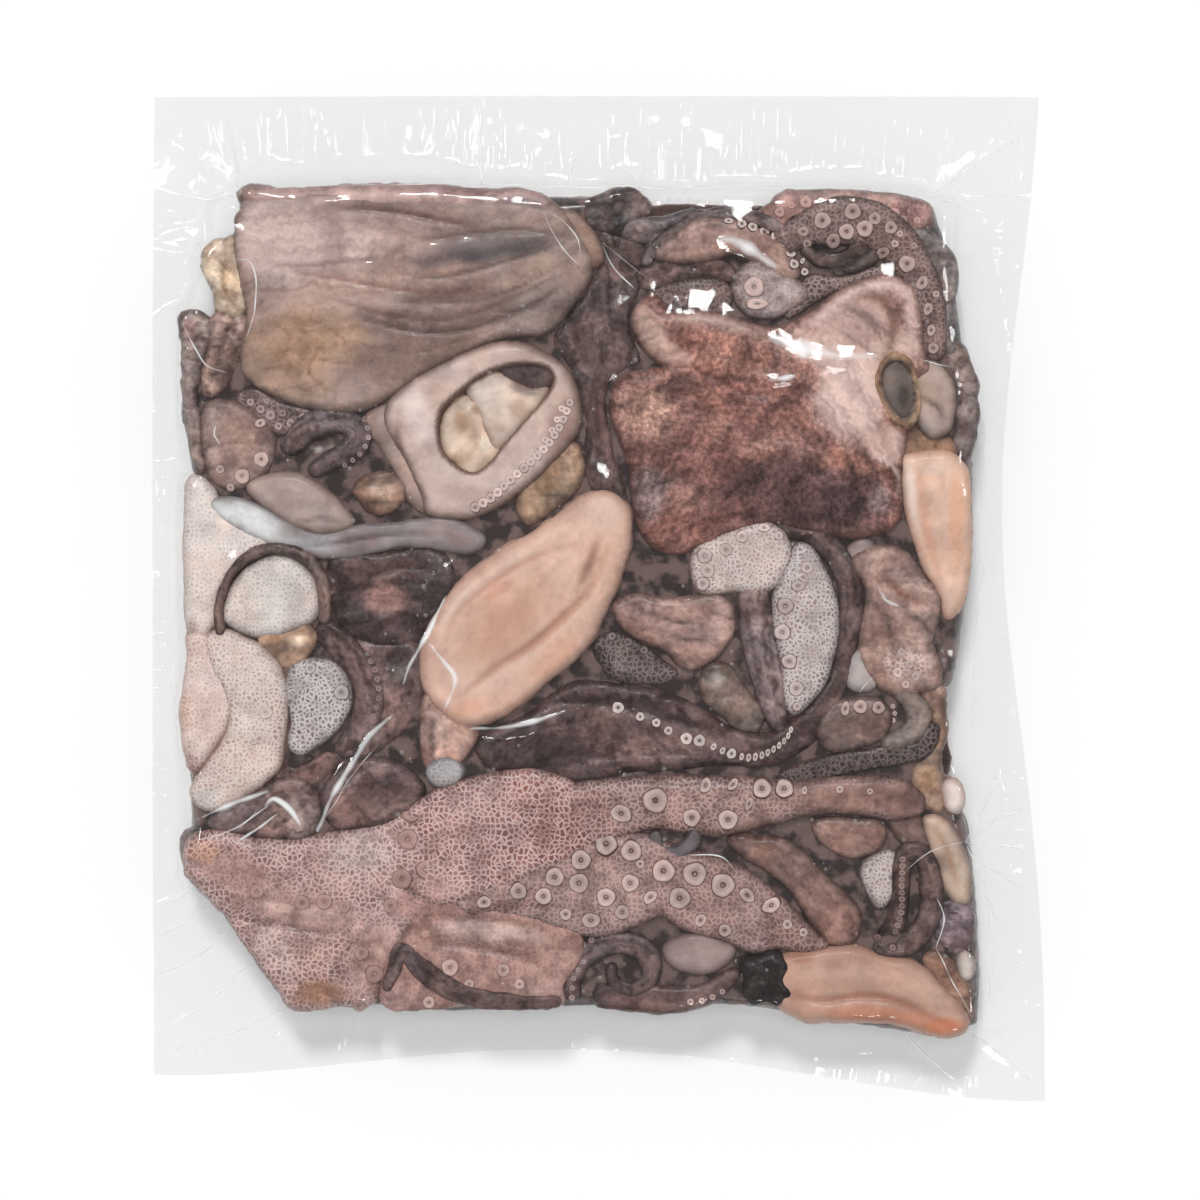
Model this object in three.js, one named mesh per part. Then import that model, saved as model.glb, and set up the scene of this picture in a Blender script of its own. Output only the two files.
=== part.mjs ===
// A clear vacuum pouch of raw octopus pieces, lying flat with its shown side up.
// Millimetres. +X is the pouch's right, +Y its sealed top edge, +Z up. The origin is
// the middle of the pouch's box, on the surface that it lies on.
import * as THREE from 'three';

// Driving dimensions of the pouch.
const pouchWidth = 271.2;
const pouchLength = 305.4;
const waistDepth = 14;          // how far the right edge is drawn in
const waistHeight = 28;         // the place of the waist along Y
const waistSpread = 90;         // how far along the edge the waist runs out
const archDepth = 14;           // how far the lower edge is drawn up in its middle
const archReach = 1.02;         // the arch ends this near the right corner
const archPower = 1.6;          // how flat the arch is at its ends
const cornerRise = 8;           // the lower left corner is this much higher than the right one
const sheetThickness = 0.8;     // two films, one on the other
const seamHeight = 7;           // height of the border where it leaves the block
const rimHeight = 3.5;          // height of the border's outer edge
const rimReach = 24;            // the border is at its rim height this far from the block
const cornerDrop = 2;           // the border's corners lie lower than its middles
const cornerPower = 3;          // how near the corners the drop keeps

// Driving dimensions of the block of contents.
const blockThickness = 18.5;    // to the low places between the pieces
const topRounding = 13;         // width of the rounded upper edge
const footRounding = 11;        // width of the rounded lower edge
const settleReach = 15.6;       // the pieces stand at their full height this far inside
const blockMargin = 1;          // the block starts to rise this far outside its outline
const hollowBlend = 1.5;        // how softly one form runs into the next
const groundLimit = 1e-6;       // what lies lower than this is on the ground

// Grid of the faceted surface.
const cellsAcross = 54;
const cellsAlong = 61;
const outlineSteps = 160;
const armSteps = 24;

// Outline of the block, read clockwise from its upper left corner.
const blockOutline = [
  [-108, 124], [0, 124.5], [99, 123], [109, 100], [114, 60], [115, 20], [111, -30], [115, -80],
  [117, -122], [110, -132], [70, -129], [30, -124], [-40, -124], [-92, -124], [-106, -111],
  [-122, -87], [-126, -65], [-125, -20], [-124, 30], [-127, 80], [-119, 104],
];

// Mantles, webs and rounded pieces: centre, half length and half width, turn from +X in
// degrees, rise over the block, and how much the far end narrows.
const lobes = [
  { name: 'grey mantle', at: [-66, 94], half: [52, 31], turn: -4, rise: 4.6, narrowing: 0.45 },
  { name: 'grey mantle fold', at: [-58, 117], half: [44, 7], turn: -3, rise: 4.4, narrowing: 0.3 },
  { name: 'mottled mantle', at: [50, 48], half: [45, 33], turn: -22, rise: 5.4, narrowing: 0.1 },
  { name: 'mantle collar', at: [72, 83], half: [30, 12], turn: 14, rise: 5.6, narrowing: 0.1 },
  { name: 'mantle rim', at: [22, 78], half: [13, 20], turn: 28, rise: 4.8, narrowing: 0.2 },
  { name: 'right peach piece', at: [102, 20], half: [10, 25], turn: -4, rise: 3.8, narrowing: 0.2 },
  { name: 'folded peach piece', at: [-22, -3], half: [44, 17], turn: 49, rise: 6.6, narrowing: 0.15 },
  { name: 'left dome', at: [-98, 3], half: [15, 14], turn: 0, rise: 4.8, narrowing: 0 },
  { name: 'left sheet', at: [-110, -32], half: [14, 29], turn: 8, rise: 4.6, narrowing: 0.2 },
  { name: 'lilac piece', at: [-84, -32], half: [9, 15], turn: -6, rise: 3.8, narrowing: 0 },
  { name: 'dark mass', at: [-63, 4], half: [17, 14], turn: 0, rise: 2.6, narrowing: 0 },
  { name: 'left band', at: [-84, 16], half: [34, 6], turn: -6, rise: 3.4, narrowing: 0.2 },
  { name: 'flesh oval', at: [-90, 29], half: [16, 7], turn: -24, rise: 3.6, narrowing: 0 },
  { name: 'arm base', at: [-109, 44], half: [11, 13], turn: 0, rise: 3.4, narrowing: 0 },
  { name: 'dotted wedge', at: [42, 12], half: [14, 10], turn: 8, rise: 4.8, narrowing: 0.2 },
  { name: 'dotted tall piece', at: [62, -10], half: [9, 24], turn: 3, rise: 4.8, narrowing: 0.2 },
  { name: 'tan chunk', at: [22, -8], half: [18, 10], turn: -8, rise: 3.6, narrowing: 0.1 },
  { name: 'right cluster', at: [90, -9], half: [11, 20], turn: 0, rise: 3.6, narrowing: 0.1 },
  { name: 'pink oval', at: [77, -36], half: [10, 8], turn: 0, rise: 3.4, narrowing: 0 },
  { name: 'lower web', at: [-52, -78], half: [68, 22], turn: 8, rise: 4.6, narrowing: 0.1 },
  { name: 'lower web skirt', at: [-62, -103], half: [50, 20], turn: -12, rise: 4.0, narrowing: 0.1 },
  { name: 'dark lobes', at: [-86, -66], half: [26, 8], turn: 2, rise: 3.0, narrowing: 0 },
  { name: 'lower right peach', at: [80, -118], half: [31, 11], turn: -10, rise: 4.8, narrowing: 0.1 },
  { name: 'blunt arm end', at: [57, -72], half: [14, 8], turn: -38, rise: 3.8, narrowing: 0 },
  { name: 'small lobe', at: [73, -88], half: [14, 8], turn: -52, rise: 3.6, narrowing: 0 },
  { name: 'pale oval', at: [29, -106], half: [11, 6], turn: 0, rise: 3.4, narrowing: 0 },
  { name: 'bowl', at: [-34, 50], half: [28, 26], turn: 20, rise: 5.2, narrowing: 0 },
];

// Arms: a route of a few points, the half width at its start and end, and the rise.
const arms = [
  { name: 'long arm', route: [[-24, -64], [18, -60], [62, -58], [90, -58]], half: [10, 6], rise: 5 },
  { name: 'second arm', route: [[-52, -94], [-6, -78], [28, -84], [62, -98]], half: [12, 8], rise: 5.2 },
  { name: 'dark arm', route: [[-24, -34], [20, -36], [52, -42], [96, -50]], half: [9, 6], rise: 3.2 },
  { name: 'top arm', route: [[8, 106], [32, 116], [52, 108], [62, 98]], half: [7, 5], rise: 4.2 },
  { name: 'round arm end', route: [[36, 92], [52, 92]], half: [8, 8], rise: 4.2 },
  { name: 'corner arm', route: [[50, 114], [84, 116], [98, 98], [100, 66]], half: [8, 7], rise: 4.2 },
  { name: 'side flap', route: [[-124, 84], [-119, 60]], half: [4, 6], rise: 2.6 },
  { name: 'looped arm', route: [[88, -76], [88, -92], [92, -104], [100, -92]], half: [4, 4], rise: 3.2 },
  { name: 'curled arm', route: [[-8, -118], [0, -104], [14, -104]], half: [5, 4], rise: 3.4 },
  { name: 'tube', route: [[2, -117], [38, -118]], half: [5, 4], rise: 3 },
];

// Hollows that the film dips into: centre, half sizes, turn and depth.
const hollows = [
  { name: 'bowl opening', at: [-31, 53], half: [19, 14], turn: 40, depth: 2.4 },
  { name: 'siphon pit', at: [89, 62], half: [5, 9], turn: 8, depth: 1.6 },
  { name: 'peach slit', at: [-12, 8], half: [3, 14], turn: -36, depth: 1.6 },
];

const smoothStep = (low, high, value) => {
  const share = THREE.MathUtils.clamp((value - low) / (high - low), 0, 1);
  return share * share * (3 - 2 * share);
};

// A point in a form's own axes, as shares of its half sizes.
const inOwnAxes = (form, x, y) => {
  const angle = THREE.MathUtils.degToRad(form.turn);
  const acrossX = x - form.at[0];
  const acrossY = y - form.at[1];
  return [
    (acrossX * Math.cos(angle) + acrossY * Math.sin(angle)) / form.half[0],
    (acrossY * Math.cos(angle) - acrossX * Math.sin(angle)) / form.half[1],
  ];
};

const lobeRise = (form, x, y) => {
  const [along, across] = inOwnAxes(form, x, y);
  const width = 1 - form.narrowing * (along + 1) / 2;
  const reach = Math.hypot(along, across / width);
  return form.rise * Math.sqrt(Math.max(0, 1 - reach ** 3));
};

const armRise = (form, x, y) => {
  let rise = 0;
  const spans = form.samples.length - 1;
  form.samples.forEach((place, index) => {
    const half = THREE.MathUtils.lerp(form.half[0], form.half[1], index / spans);
    const reach = Math.hypot(x - place.x, y - place.y) / half;
    rise = Math.max(rise, form.rise * Math.sqrt(Math.max(0, 1 - reach * reach)));
  });
  return rise;
};

const hollowDepth = (form, x, y) => {
  const [along, across] = inOwnAxes(form, x, y);
  return form.depth * (1 - smoothStep(0.5, 1, Math.hypot(along, across)));
};

for (const form of arms) {
  const points = form.route.map(([x, y]) => new THREE.Vector3(x, y, 0));
  form.samples = new THREE.CatmullRomCurve3(points).getPoints(armSteps);
}

// The forms run softly into each other, as a film drawn down over them does.
const relief = (x, y) => {
  const rises = [
    ...lobes.map((form) => lobeRise(form, x, y)),
    ...arms.map((form) => armRise(form, x, y)),
  ];
  const total = rises.reduce((sum, rise) => sum + Math.exp(rise / hollowBlend) - 1, 1);
  const capped = Math.min(hollowBlend * Math.log(total), Math.max(...rises) + hollowBlend / 2);
  return capped - hollows.reduce((sum, form) => sum + hollowDepth(form, x, y), 0);
};

// The block's outline as a closed smooth curve, and how deep inside it a point lies.
const outlineCurve = new THREE.CatmullRomCurve3(
  blockOutline.map(([x, y]) => new THREE.Vector3(x, y, 0)), true, 'centripetal',
);
const outlinePoints = outlineCurve.getPoints(outlineSteps);

const depthInside = (x, y) => {
  let nearest = Infinity;
  let inside = false;
  for (let index = 0; index < outlineSteps; index += 1) {
    const start = outlinePoints[index];
    const end = outlinePoints[index + 1];
    const spanX = end.x - start.x;
    const spanY = end.y - start.y;
    const share = ((x - start.x) * spanX + (y - start.y) * spanY) / (spanX ** 2 + spanY ** 2);
    const held = THREE.MathUtils.clamp(share, 0, 1);
    nearest = Math.min(nearest, Math.hypot(x - start.x - held * spanX, y - start.y - held * spanY));
    const crosses = (start.y > y) !== (end.y > y);
    if (crosses && x < start.x + spanX * (y - start.y) / spanY) {
      inside = !inside;
    }
  }
  return inside ? nearest : -nearest;
};

// Height of the border's middle layer: it sags from the seam to its rim and corners.
const borderHeight = (x, y, depth) => {
  const outward = THREE.MathUtils.clamp(-depth / rimReach, 0, 1);
  const corner = Math.abs(x / (pouchWidth / 2) * y / (pouchLength / 2)) ** cornerPower;
  return THREE.MathUtils.lerp(seamHeight, rimHeight, smoothStep(0, 1, outward)) - cornerDrop * corner;
};

const topHeight = (x, y) => {
  const depth = depthInside(x, y);
  const border = borderHeight(x, y, depth) + sheetThickness / 2;
  const share = THREE.MathUtils.clamp((depth + blockMargin) / topRounding, 0, 1);
  const shoulder = 1 - (1 - share) ** 2;
  const settle = smoothStep(0, settleReach, depth);
  return border + shoulder * (blockThickness - border) + settle * relief(x, y);
};

const bottomHeight = (x, y) => {
  const depth = depthInside(x, y);
  const border = borderHeight(x, y, depth) - sheetThickness / 2;
  const share = THREE.MathUtils.clamp((depth + blockMargin) / footRounding, 0, 1);
  return border * (1 - share) ** 2;
};

// Place of a grid point in the plane, between the four edges of the pouch.
const planePlace = (column, row) => {
  const across = column / cellsAcross;
  const along = row / cellsAlong;
  const arch = archDepth * Math.sin(Math.PI * Math.min(1, across * archReach)) ** archPower;
  const slant = cornerRise * (1 - across) ** 2;
  const lowest = -pouchLength / 2 + arch + slant;
  const y = THREE.MathUtils.lerp(lowest, pouchLength / 2, along);
  const waist = waistDepth * Math.exp(-(((y - waistHeight) / waistSpread) ** 2));
  const x = THREE.MathUtils.lerp(-pouchWidth / 2, pouchWidth / 2 - waist, across);
  return [x, y];
};

// The two sheets share their grid, so that they never cross where they are thin. The
// flat foot, where every corner of a cell is on the ground, is one polygon.
const pouchGeometry = () => {
  const columns = cellsAcross + 1;
  const rows = cellsAlong + 1;
  const positions = [];
  const places = [];
  for (let row = 0; row < rows; row += 1) {
    for (let column = 0; column < columns; column += 1) {
      places.push(planePlace(column, row));
    }
  }
  places.forEach(([x, y]) => positions.push(x, y, topHeight(x, y)));
  places.forEach(([x, y]) => positions.push(x, y, bottomHeight(x, y)));
  const layer = columns * rows;
  const onGround = (index) => positions[(index + layer) * 3 + 2] < groundLimit;
  const indices = [];
  const openEdges = new Map();
  for (let row = 0; row < cellsAlong; row += 1) {
    for (let column = 0; column < cellsAcross; column += 1) {
      const a = row * columns + column;
      const [b, c, d] = [a + 1, a + columns + 1, a + columns];
      indices.push(a, b, c, a, c, d);
      if ([a, b, c, d].every(onGround)) {
        for (const [from, to] of [[a, b], [b, c], [c, d], [d, a]]) {
          const back = `${to},${from}`;
          if (openEdges.has(back)) {
            openEdges.delete(back);
          } else {
            openEdges.set(`${from},${to}`, [from, to]);
          }
        }
      } else {
        indices.push(a + layer, c + layer, b + layer, a + layer, d + layer, c + layer);
      }
    }
  }
  const nextOf = new Map(openEdges.values());
  const loop = [nextOf.keys().next().value];
  while (nextOf.get(loop.at(-1)) !== loop[0]) {
    loop.push(nextOf.get(loop.at(-1)));
  }
  const flat = loop.map((index) => new THREE.Vector2(...places[index]));
  for (const [a, b, c] of THREE.ShapeUtils.triangulateShape(flat, [])) {
    indices.push(loop[a] + layer, loop[c] + layer, loop[b] + layer);
  }
  const rim = [];
  for (let column = 0; column < cellsAcross; column += 1) {
    rim.push([column, column + 1]);
    const above = cellsAlong * columns + column;
    rim.push([above + 1, above]);
  }
  for (let row = 0; row < cellsAlong; row += 1) {
    rim.push([(row + 1) * columns, row * columns]);
    rim.push([row * columns + cellsAcross, (row + 1) * columns + cellsAcross]);
  }
  for (const [from, to] of rim) {
    indices.push(from + layer, to + layer, to, from + layer, to, from);
  }
  const geometry = new THREE.BufferGeometry();
  geometry.setAttribute('position', new THREE.Float32BufferAttribute(positions, 3));
  geometry.setIndex(indices);
  geometry.computeVertexNormals();
  return geometry;
};

const pouchMaterial = new THREE.MeshStandardMaterial({ color: 0x8f746c, roughness: 0.3, metalness: 0 });
const pouch = new THREE.Mesh(pouchGeometry(), pouchMaterial);
pouch.name = 'vacuum_pouch';

const group = new THREE.Group();
group.add(pouch);

export default group;
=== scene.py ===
import math

import bpy
import numpy as np
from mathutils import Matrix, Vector
from mathutils.bvhtree import BVHTree
from mathutils.geometry import delaunay_2d_cdt, tessellate_polygon


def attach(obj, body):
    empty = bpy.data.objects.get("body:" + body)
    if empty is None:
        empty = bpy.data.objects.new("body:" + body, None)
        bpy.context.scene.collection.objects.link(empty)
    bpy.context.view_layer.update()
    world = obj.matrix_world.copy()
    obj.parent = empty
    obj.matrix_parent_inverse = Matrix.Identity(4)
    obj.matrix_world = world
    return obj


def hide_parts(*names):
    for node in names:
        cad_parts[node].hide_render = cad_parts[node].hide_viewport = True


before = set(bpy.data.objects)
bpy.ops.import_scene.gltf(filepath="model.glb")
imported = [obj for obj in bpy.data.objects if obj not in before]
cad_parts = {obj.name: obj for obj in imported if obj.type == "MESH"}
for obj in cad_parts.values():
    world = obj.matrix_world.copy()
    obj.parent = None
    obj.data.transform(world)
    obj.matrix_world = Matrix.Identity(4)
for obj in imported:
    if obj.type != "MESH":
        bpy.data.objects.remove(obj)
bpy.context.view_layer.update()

# Shapes are worked out in millimetres and go into the meshes in metres. Outlines are
# places on a square picture that looks straight down on the pouch, in its pixels.
picture = {"middle": (600, 599), "pixel": 0.3}
metre = 0.001
pouch = {
    "width": 271.2, "length": 305.4,
    "waist": 14, "waistAt": 28, "waistSpread": 90,
    "arch": 14, "cornerRise": 8,
    "seam": 7, "rim": 3.5, "cornerDrop": 2,
}
slabs = []  # every piece with a surface that the film lies on
skyHigh = 60  # rays that look for a surface start this high
pressed = {"spread": 0.8, "lift": 2.0, "round": 0.58}  # how far packing spreads, lifts and tightens the edges


# Plain geometry
def toPlane(points):
    places = np.array(points, dtype=float)[:, :2]
    across = (places[:, 0] - picture["middle"][0]) * picture["pixel"]
    along = (picture["middle"][1] - places[:, 1]) * picture["pixel"]
    return np.stack([across, along], axis=1)


def linear(colour):  # display values of 0 to 255 to the linear ones that shaders use
    shares = np.array(colour, dtype=float) / 255
    return np.where(shares <= 0.04045, shares / 12.92, ((shares + 0.055) / 1.055) ** 2.4)


def smoothStep(low, high, values):
    share = np.clip((values - low) / (high - low), 0, 1)
    return share * share * (3 - 2 * share)


def smoothRoute(points, step, closed=False):  # a Catmull-Rom curve through the points
    count = len(points)
    route = []
    for index in range(count if closed else count - 1):
        before, start, end, after = [
            points[(index + shift) % count] if closed else points[min(max(index + shift, 0), count - 1)]
            for shift in (-1, 0, 1, 2)
        ]
        steps = max(1, int(round(np.linalg.norm(end - start) / step)))
        share = (np.arange(steps) / steps)[:, None]
        route.append(0.5 * (
            2 * start + (end - before) * share
            + (2 * before - 5 * start + 4 * end - after) * share ** 2
            + (3 * start - before - 3 * end + after) * share ** 3
        ))
    if not closed:
        route.append(points[-1][None, :])
    return np.concatenate(route)


def softNoise(places, size, seed):
    table = np.random.default_rng(seed).uniform(-1, 1, (64, 64))
    scaled = places / size + 512
    cell = np.floor(scaled).astype(int)
    part = scaled - cell
    part = part * part * (3 - 2 * part)
    column, row = cell[:, 0] % 64, cell[:, 1] % 64
    nextColumn, nextRow = (column + 1) % 64, (row + 1) % 64
    lower = table[row, column] * (1 - part[:, 0]) + table[row, nextColumn] * part[:, 0]
    upper = table[nextRow, column] * (1 - part[:, 0]) + table[nextRow, nextColumn] * part[:, 0]
    return lower * (1 - part[:, 1]) + upper * part[:, 1]


def roughNoise(places, size, seed, octaves=3):
    turn = np.array([[0.8, -0.6], [0.6, 0.8]])
    total = np.zeros(len(places))
    for octave in range(octaves):
        total += softNoise(places, size, seed + octave) / 2 ** octave
        places = places @ turn
        size = size / 2.1
    return total / 1.6


def nearOn(places, line, closed):  # distance, length along and signed side of the nearest spot
    starts = line if closed else line[:-1]
    spans = (np.roll(line, -1, axis=0) if closed else line[1:]) - starts
    lengths = np.maximum(np.linalg.norm(spans, axis=1), 1e-9)
    reached = np.concatenate([[0], np.cumsum(lengths)[:-1]])
    found = np.zeros((len(places), 3))
    for first in range(0, len(places), 1500):
        group = places[first:first + 1500]
        offset = group[:, None, :] - starts[None, :, :]
        share = np.clip((offset * spans).sum(axis=2) / lengths ** 2, 0, 1)
        gap = offset - share[:, :, None] * spans
        distance = np.hypot(gap[:, :, 0], gap[:, :, 1])
        best = distance.argmin(axis=1)
        rows = np.arange(len(group))
        span, out = spans[best], offset[rows, best]
        side = np.sign(span[:, 0] * out[:, 1] - span[:, 1] * out[:, 0])
        found[first:first + 1500, 0] = distance[rows, best]
        found[first:first + 1500, 1] = reached[best] + share[rows, best] * lengths[best]
        found[first:first + 1500, 2] = side * distance[rows, best]
    return found


def insideLoop(places, loop):
    inside = np.zeros(len(places), dtype=bool)
    for start, end in zip(loop, np.roll(loop, -1, axis=0)):
        if start[1] != end[1]:
            crosses = (start[1] > places[:, 1]) != (end[1] > places[:, 1])
            limit = start[0] + (end[0] - start[0]) * (places[:, 1] - start[1]) / (end[1] - start[1])
            inside ^= crosses & (places[:, 0] < limit)
    return inside


def loopNormals(loop):  # outward, for a loop that runs anticlockwise
    along = np.roll(loop, -1, axis=0) - np.roll(loop, 1, axis=0)
    normals = np.stack([along[:, 1], -along[:, 0]], axis=1)
    return normals / np.maximum(np.linalg.norm(normals, axis=1), 1e-9)[:, None]


def routeOutline(route, widths, step=2.0):  # the outline of an arm, with round ends
    line = smoothRoute(toPlane(route), step)
    share = np.linspace(0, len(widths) - 1, len(line))
    half = np.interp(share, range(len(widths)), np.array(widths) * picture["pixel"] / 2)
    along = np.gradient(line, axis=0)
    along /= np.linalg.norm(along, axis=1)[:, None]
    side = np.stack([-along[:, 1], along[:, 0]], axis=1)
    first = math.atan2(-side[0, 1], -side[0, 0])
    last = math.atan2(side[-1, 1], side[-1, 0])
    turns = np.linspace(0, math.pi, 7)[1:-1]
    startCap = [line[0] + half[0] * np.array([math.cos(first - t), math.sin(first - t)]) for t in turns]
    endCap = [line[-1] + half[-1] * np.array([math.cos(last - t), math.sin(last - t)]) for t in turns]
    left = line + side * half[:, None]
    right = line - side * half[:, None]
    return np.concatenate([right, endCap[::-1], left[::-1], startCap[::-1]])


# Meshes
def makeMesh(name, points, faces, material, fields=None, smooth=True):
    mesh = bpy.data.meshes.new(name)
    mesh.from_pydata((np.asarray(points) * metre).tolist(), [], [list(face) for face in faces])
    for label, values in (fields or {}).items():
        values = np.asarray(values, dtype=np.float32)
        kind = "FLOAT" if values.ndim == 1 else ("FLOAT_COLOR" if values.shape[1] == 4 else "FLOAT_VECTOR")
        slot = {"FLOAT": "value", "FLOAT_COLOR": "color", "FLOAT_VECTOR": "vector"}[kind]
        mesh.attributes.new(label, kind, "POINT").data.foreach_set(slot, values.ravel())
    if smooth:
        mesh.shade_smooth()
    mesh.materials.append(material)
    piece = bpy.data.objects.new(name, mesh)
    bpy.context.scene.collection.objects.link(piece)
    return piece


def addToPouch(piece):
    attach(piece, "root")
    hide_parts("vacuum_pouch")


def patchMask(places, patch, seed):  # patch is (x, y, half width, half height, turn), soft and uneven
    centre = toPlane([patch[:2]])[0]
    angle = math.radians(patch[4])
    across, along = (places - centre).T
    u = (across * math.cos(angle) + along * math.sin(angle)) / (patch[2] * picture["pixel"])
    v = (along * math.cos(angle) - across * math.sin(angle)) / (patch[3] * picture["pixel"])
    return 1 - smoothStep(0.45, 1.15, np.hypot(u, v) + 0.28 * roughNoise(places, 9, seed))


# A dent is a crease, or a ridge where its height is above 0.
def dent(width, height, route, colour=None, shade=None, smooth=None):
    form = {"width": width, "height": height, "route": route, "colour": colour, "shade": shade,
            "smooth": smooth}
    return {key: value for key, value in form.items() if value is not None}


def foldMask(places, fold):
    route = smoothRoute(toPlane(fold["route"]), 1.5)
    near = nearOn(places, route, closed=False)
    total = np.linalg.norm(np.diff(route, axis=0), axis=1).sum()
    ends = np.sin(np.pi * np.clip(near[:, 1] / total, 0.03, 0.97)) ** 0.5
    return np.exp(-(near[:, 0] / fold["width"]) ** 2) * ends


def flowOf(form, places):  # how far along and across the fibres each place is
    if "route" in form or "spine" in form:
        spine = smoothRoute(toPlane(form.get("spine", form.get("route"))), 2.0)
        return nearOn(places, spine, closed=False)[:, 1:]
    angle = math.radians(form.get("turn", 0))
    return places @ np.array([(math.cos(angle), -math.sin(angle)), (math.sin(angle), math.cos(angle))])


def wrinkleNoise(form, places, seed):
    lay = flowOf(form, places) / (5.0, 1.0)
    return 1 - 2.4 * np.abs(roughNoise(lay, 2.6, seed + 70, 2))


def makeHeight(form, loop, seed):
    def heightAt(places):
        depth = nearOn(places, loop, closed=True)[:, 0] * insideLoop(places, loop)
        share = np.clip(depth / (form["round"] * pressed["round"]), 0, 1)
        crown = (1 - (1 - share) ** 2.2) ** (1 / 2.2)
        height = form["edge"] + (form["top"] - form["edge"]) * crown
        height += form.get("lumps", 0.45) * roughNoise(places, form.get("lumpSize", 12), seed) * crown
        height += form["wrinkle"] * wrinkleNoise(form, places, seed) * crown
        for fold in form.get("folds", []):
            height += fold["height"] * foldMask(places, fold)
        for pit in form.get("pits", []):
            hole = smoothRoute(toPlane(pit["outline"]), 1.5, closed=True)
            reach = nearOn(places, hole, closed=True)[:, 0] * insideLoop(places, hole)
            height -= pit["depth"] * smoothStep(0, pit["lip"], reach)
        return np.minimum(height, form.get("press", 99))
    return heightAt


painting = {
    "warmthLimit": 0.22, "warmth": (0.45, -0.1, -0.5),  # how warm clouds shift red, green and blue
    "stain": (0.75, 0.85, 0.82), "balance": (1.02, 0.965, 0.93),
    # Folds take the crease colour as painted shade in creases and the ridge colour as a painted highlight on
    # ridges.
    "crease": (70, 54, 52), "creaseShade": 0.75, "ridge": (214, 190, 182), "ridgeShade": 0.25,
    # The rim colour, its width and its fade are painted shade along each piece's edges.
    "rim": (84, 64, 60), "rimShade": 0.6, "edgeShadeWidth": 1.7, "edgeShadeFade": 4, "edgeShadeFall": 0.3,
    # The wall shares are painted shade on the sides of each piece, deepening towards the bottom.
    "walls": (0.92, 0.72, 0.5), "wallSwell": 0.45, "wallOut": 0.35, "wallIn": -0.7,
}


def paint(form, places, depth, seed):  # tint and net of each point
    tint = np.tile(linear(form["colour"]), (len(places), 1))
    blotch = roughNoise(places, form.get("blotchSize", 7), seed + 20)[:, None]
    unevenness = 0.06 + 1.3 * form.get("blotch", 0.18)
    finer = roughNoise(places, 2.6, seed + 22, 2)[:, None]
    tint = tint * np.clip(1 + unevenness * (blotch + 0.5 * finer), 0.3, 1.7)
    warmth = roughNoise(places, 12, seed + 25)[:, None]
    tint = tint * (1 + min(unevenness, painting["warmthLimit"]) * warmth * painting["warmth"])
    net = np.full(len(places), float(form.get("net", 0)))
    for index, (spot, colour, strength) in enumerate(form.get("patches", [])):
        share = strength * patchMask(places, spot, seed + index)[:, None]
        tint = tint * (1 - share) + linear(colour) * share
        if form.get("grainy"):
            net = net * (1 - share[:, 0] * (min(colour) > form["grainy"]))
    for index, (spot, strength) in enumerate(form.get("netPatches", [])):
        share = patchMask(places, spot, seed + 40 + index)
        net = net * (1 - share) + strength * share
    stain = smoothStep(0.0, 0.7, roughNoise(places, 10, seed + 33)) * min(0.45, unevenness * 1.6)
    if form.get("grainy"):
        stain = stain * (0.25 + 0.75 * net)
    tint = tint * (1 - stain[:, None] * painting["stain"])
    # Painted shade in the furrows of the wrinkles.
    if form["wrinkle"] > 0.1:
        grooveShade = smoothStep(0.1, -0.9, wrinkleNoise(form, places, seed)) * 0.42
        tint = tint * (1 - grooveShade[:, None])
    # Each fold blends in a colour: by default painted shade in creases and a painted highlight on ridges.
    for fold in form.get("folds", []):
        kind = "crease" if fold["height"] < 0 else "ridge"
        share = fold.get("shade", painting[kind + "Shade"]) * foldMask(places, fold)
        colour = linear(fold.get("colour", painting[kind]))
        tint = tint * (1 - share[:, None]) + colour * share[:, None]
        net = net * (1 - share * fold.get("smooth", 0))
    # A pit's colour is painted shade in the hollow.
    for pit in form.get("pits", []):
        hole = smoothRoute(toPlane(pit["outline"]), 1.5, closed=True)
        reach = nearOn(places, hole, closed=True)[:, 0] * np.where(insideLoop(places, hole), 1, -1)
        share = (smoothStep(-0.7, 0.3, reach) * pit.get("shade", 0.9))[:, None]
        tint = tint * (1 - share) + linear(pit["colour"]) * share
        net = net * (1 - share[:, 0])
    # Painted shade: each piece darkens towards its edges and takes the rim colour along them.
    uneven = depth + 0.7 * roughNoise(places, 3, seed + 60)
    shade = form.get("rimShade", painting["rimShade"])
    edgeFallShade = (1 - smoothStep(0, painting["edgeShadeFade"], uneven))[:, None]
    tint = tint * (1 - painting["edgeShadeFall"] * edgeFallShade * shade / painting["rimShade"])
    rim = 1 - smoothStep(0, form.get("edgeShadeWidth", painting["edgeShadeWidth"]), uneven)
    share = (rim * shade)[:, None]
    tint = tint * (1 - share) + linear(form.get("edgeShadeColour", painting["rim"])) * share
    # paintedLight scales a piece's whole colour: painted shade where below 1, painted light where above 1.
    return tint * form.get("paintedLight", 1) * painting["balance"], net


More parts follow.
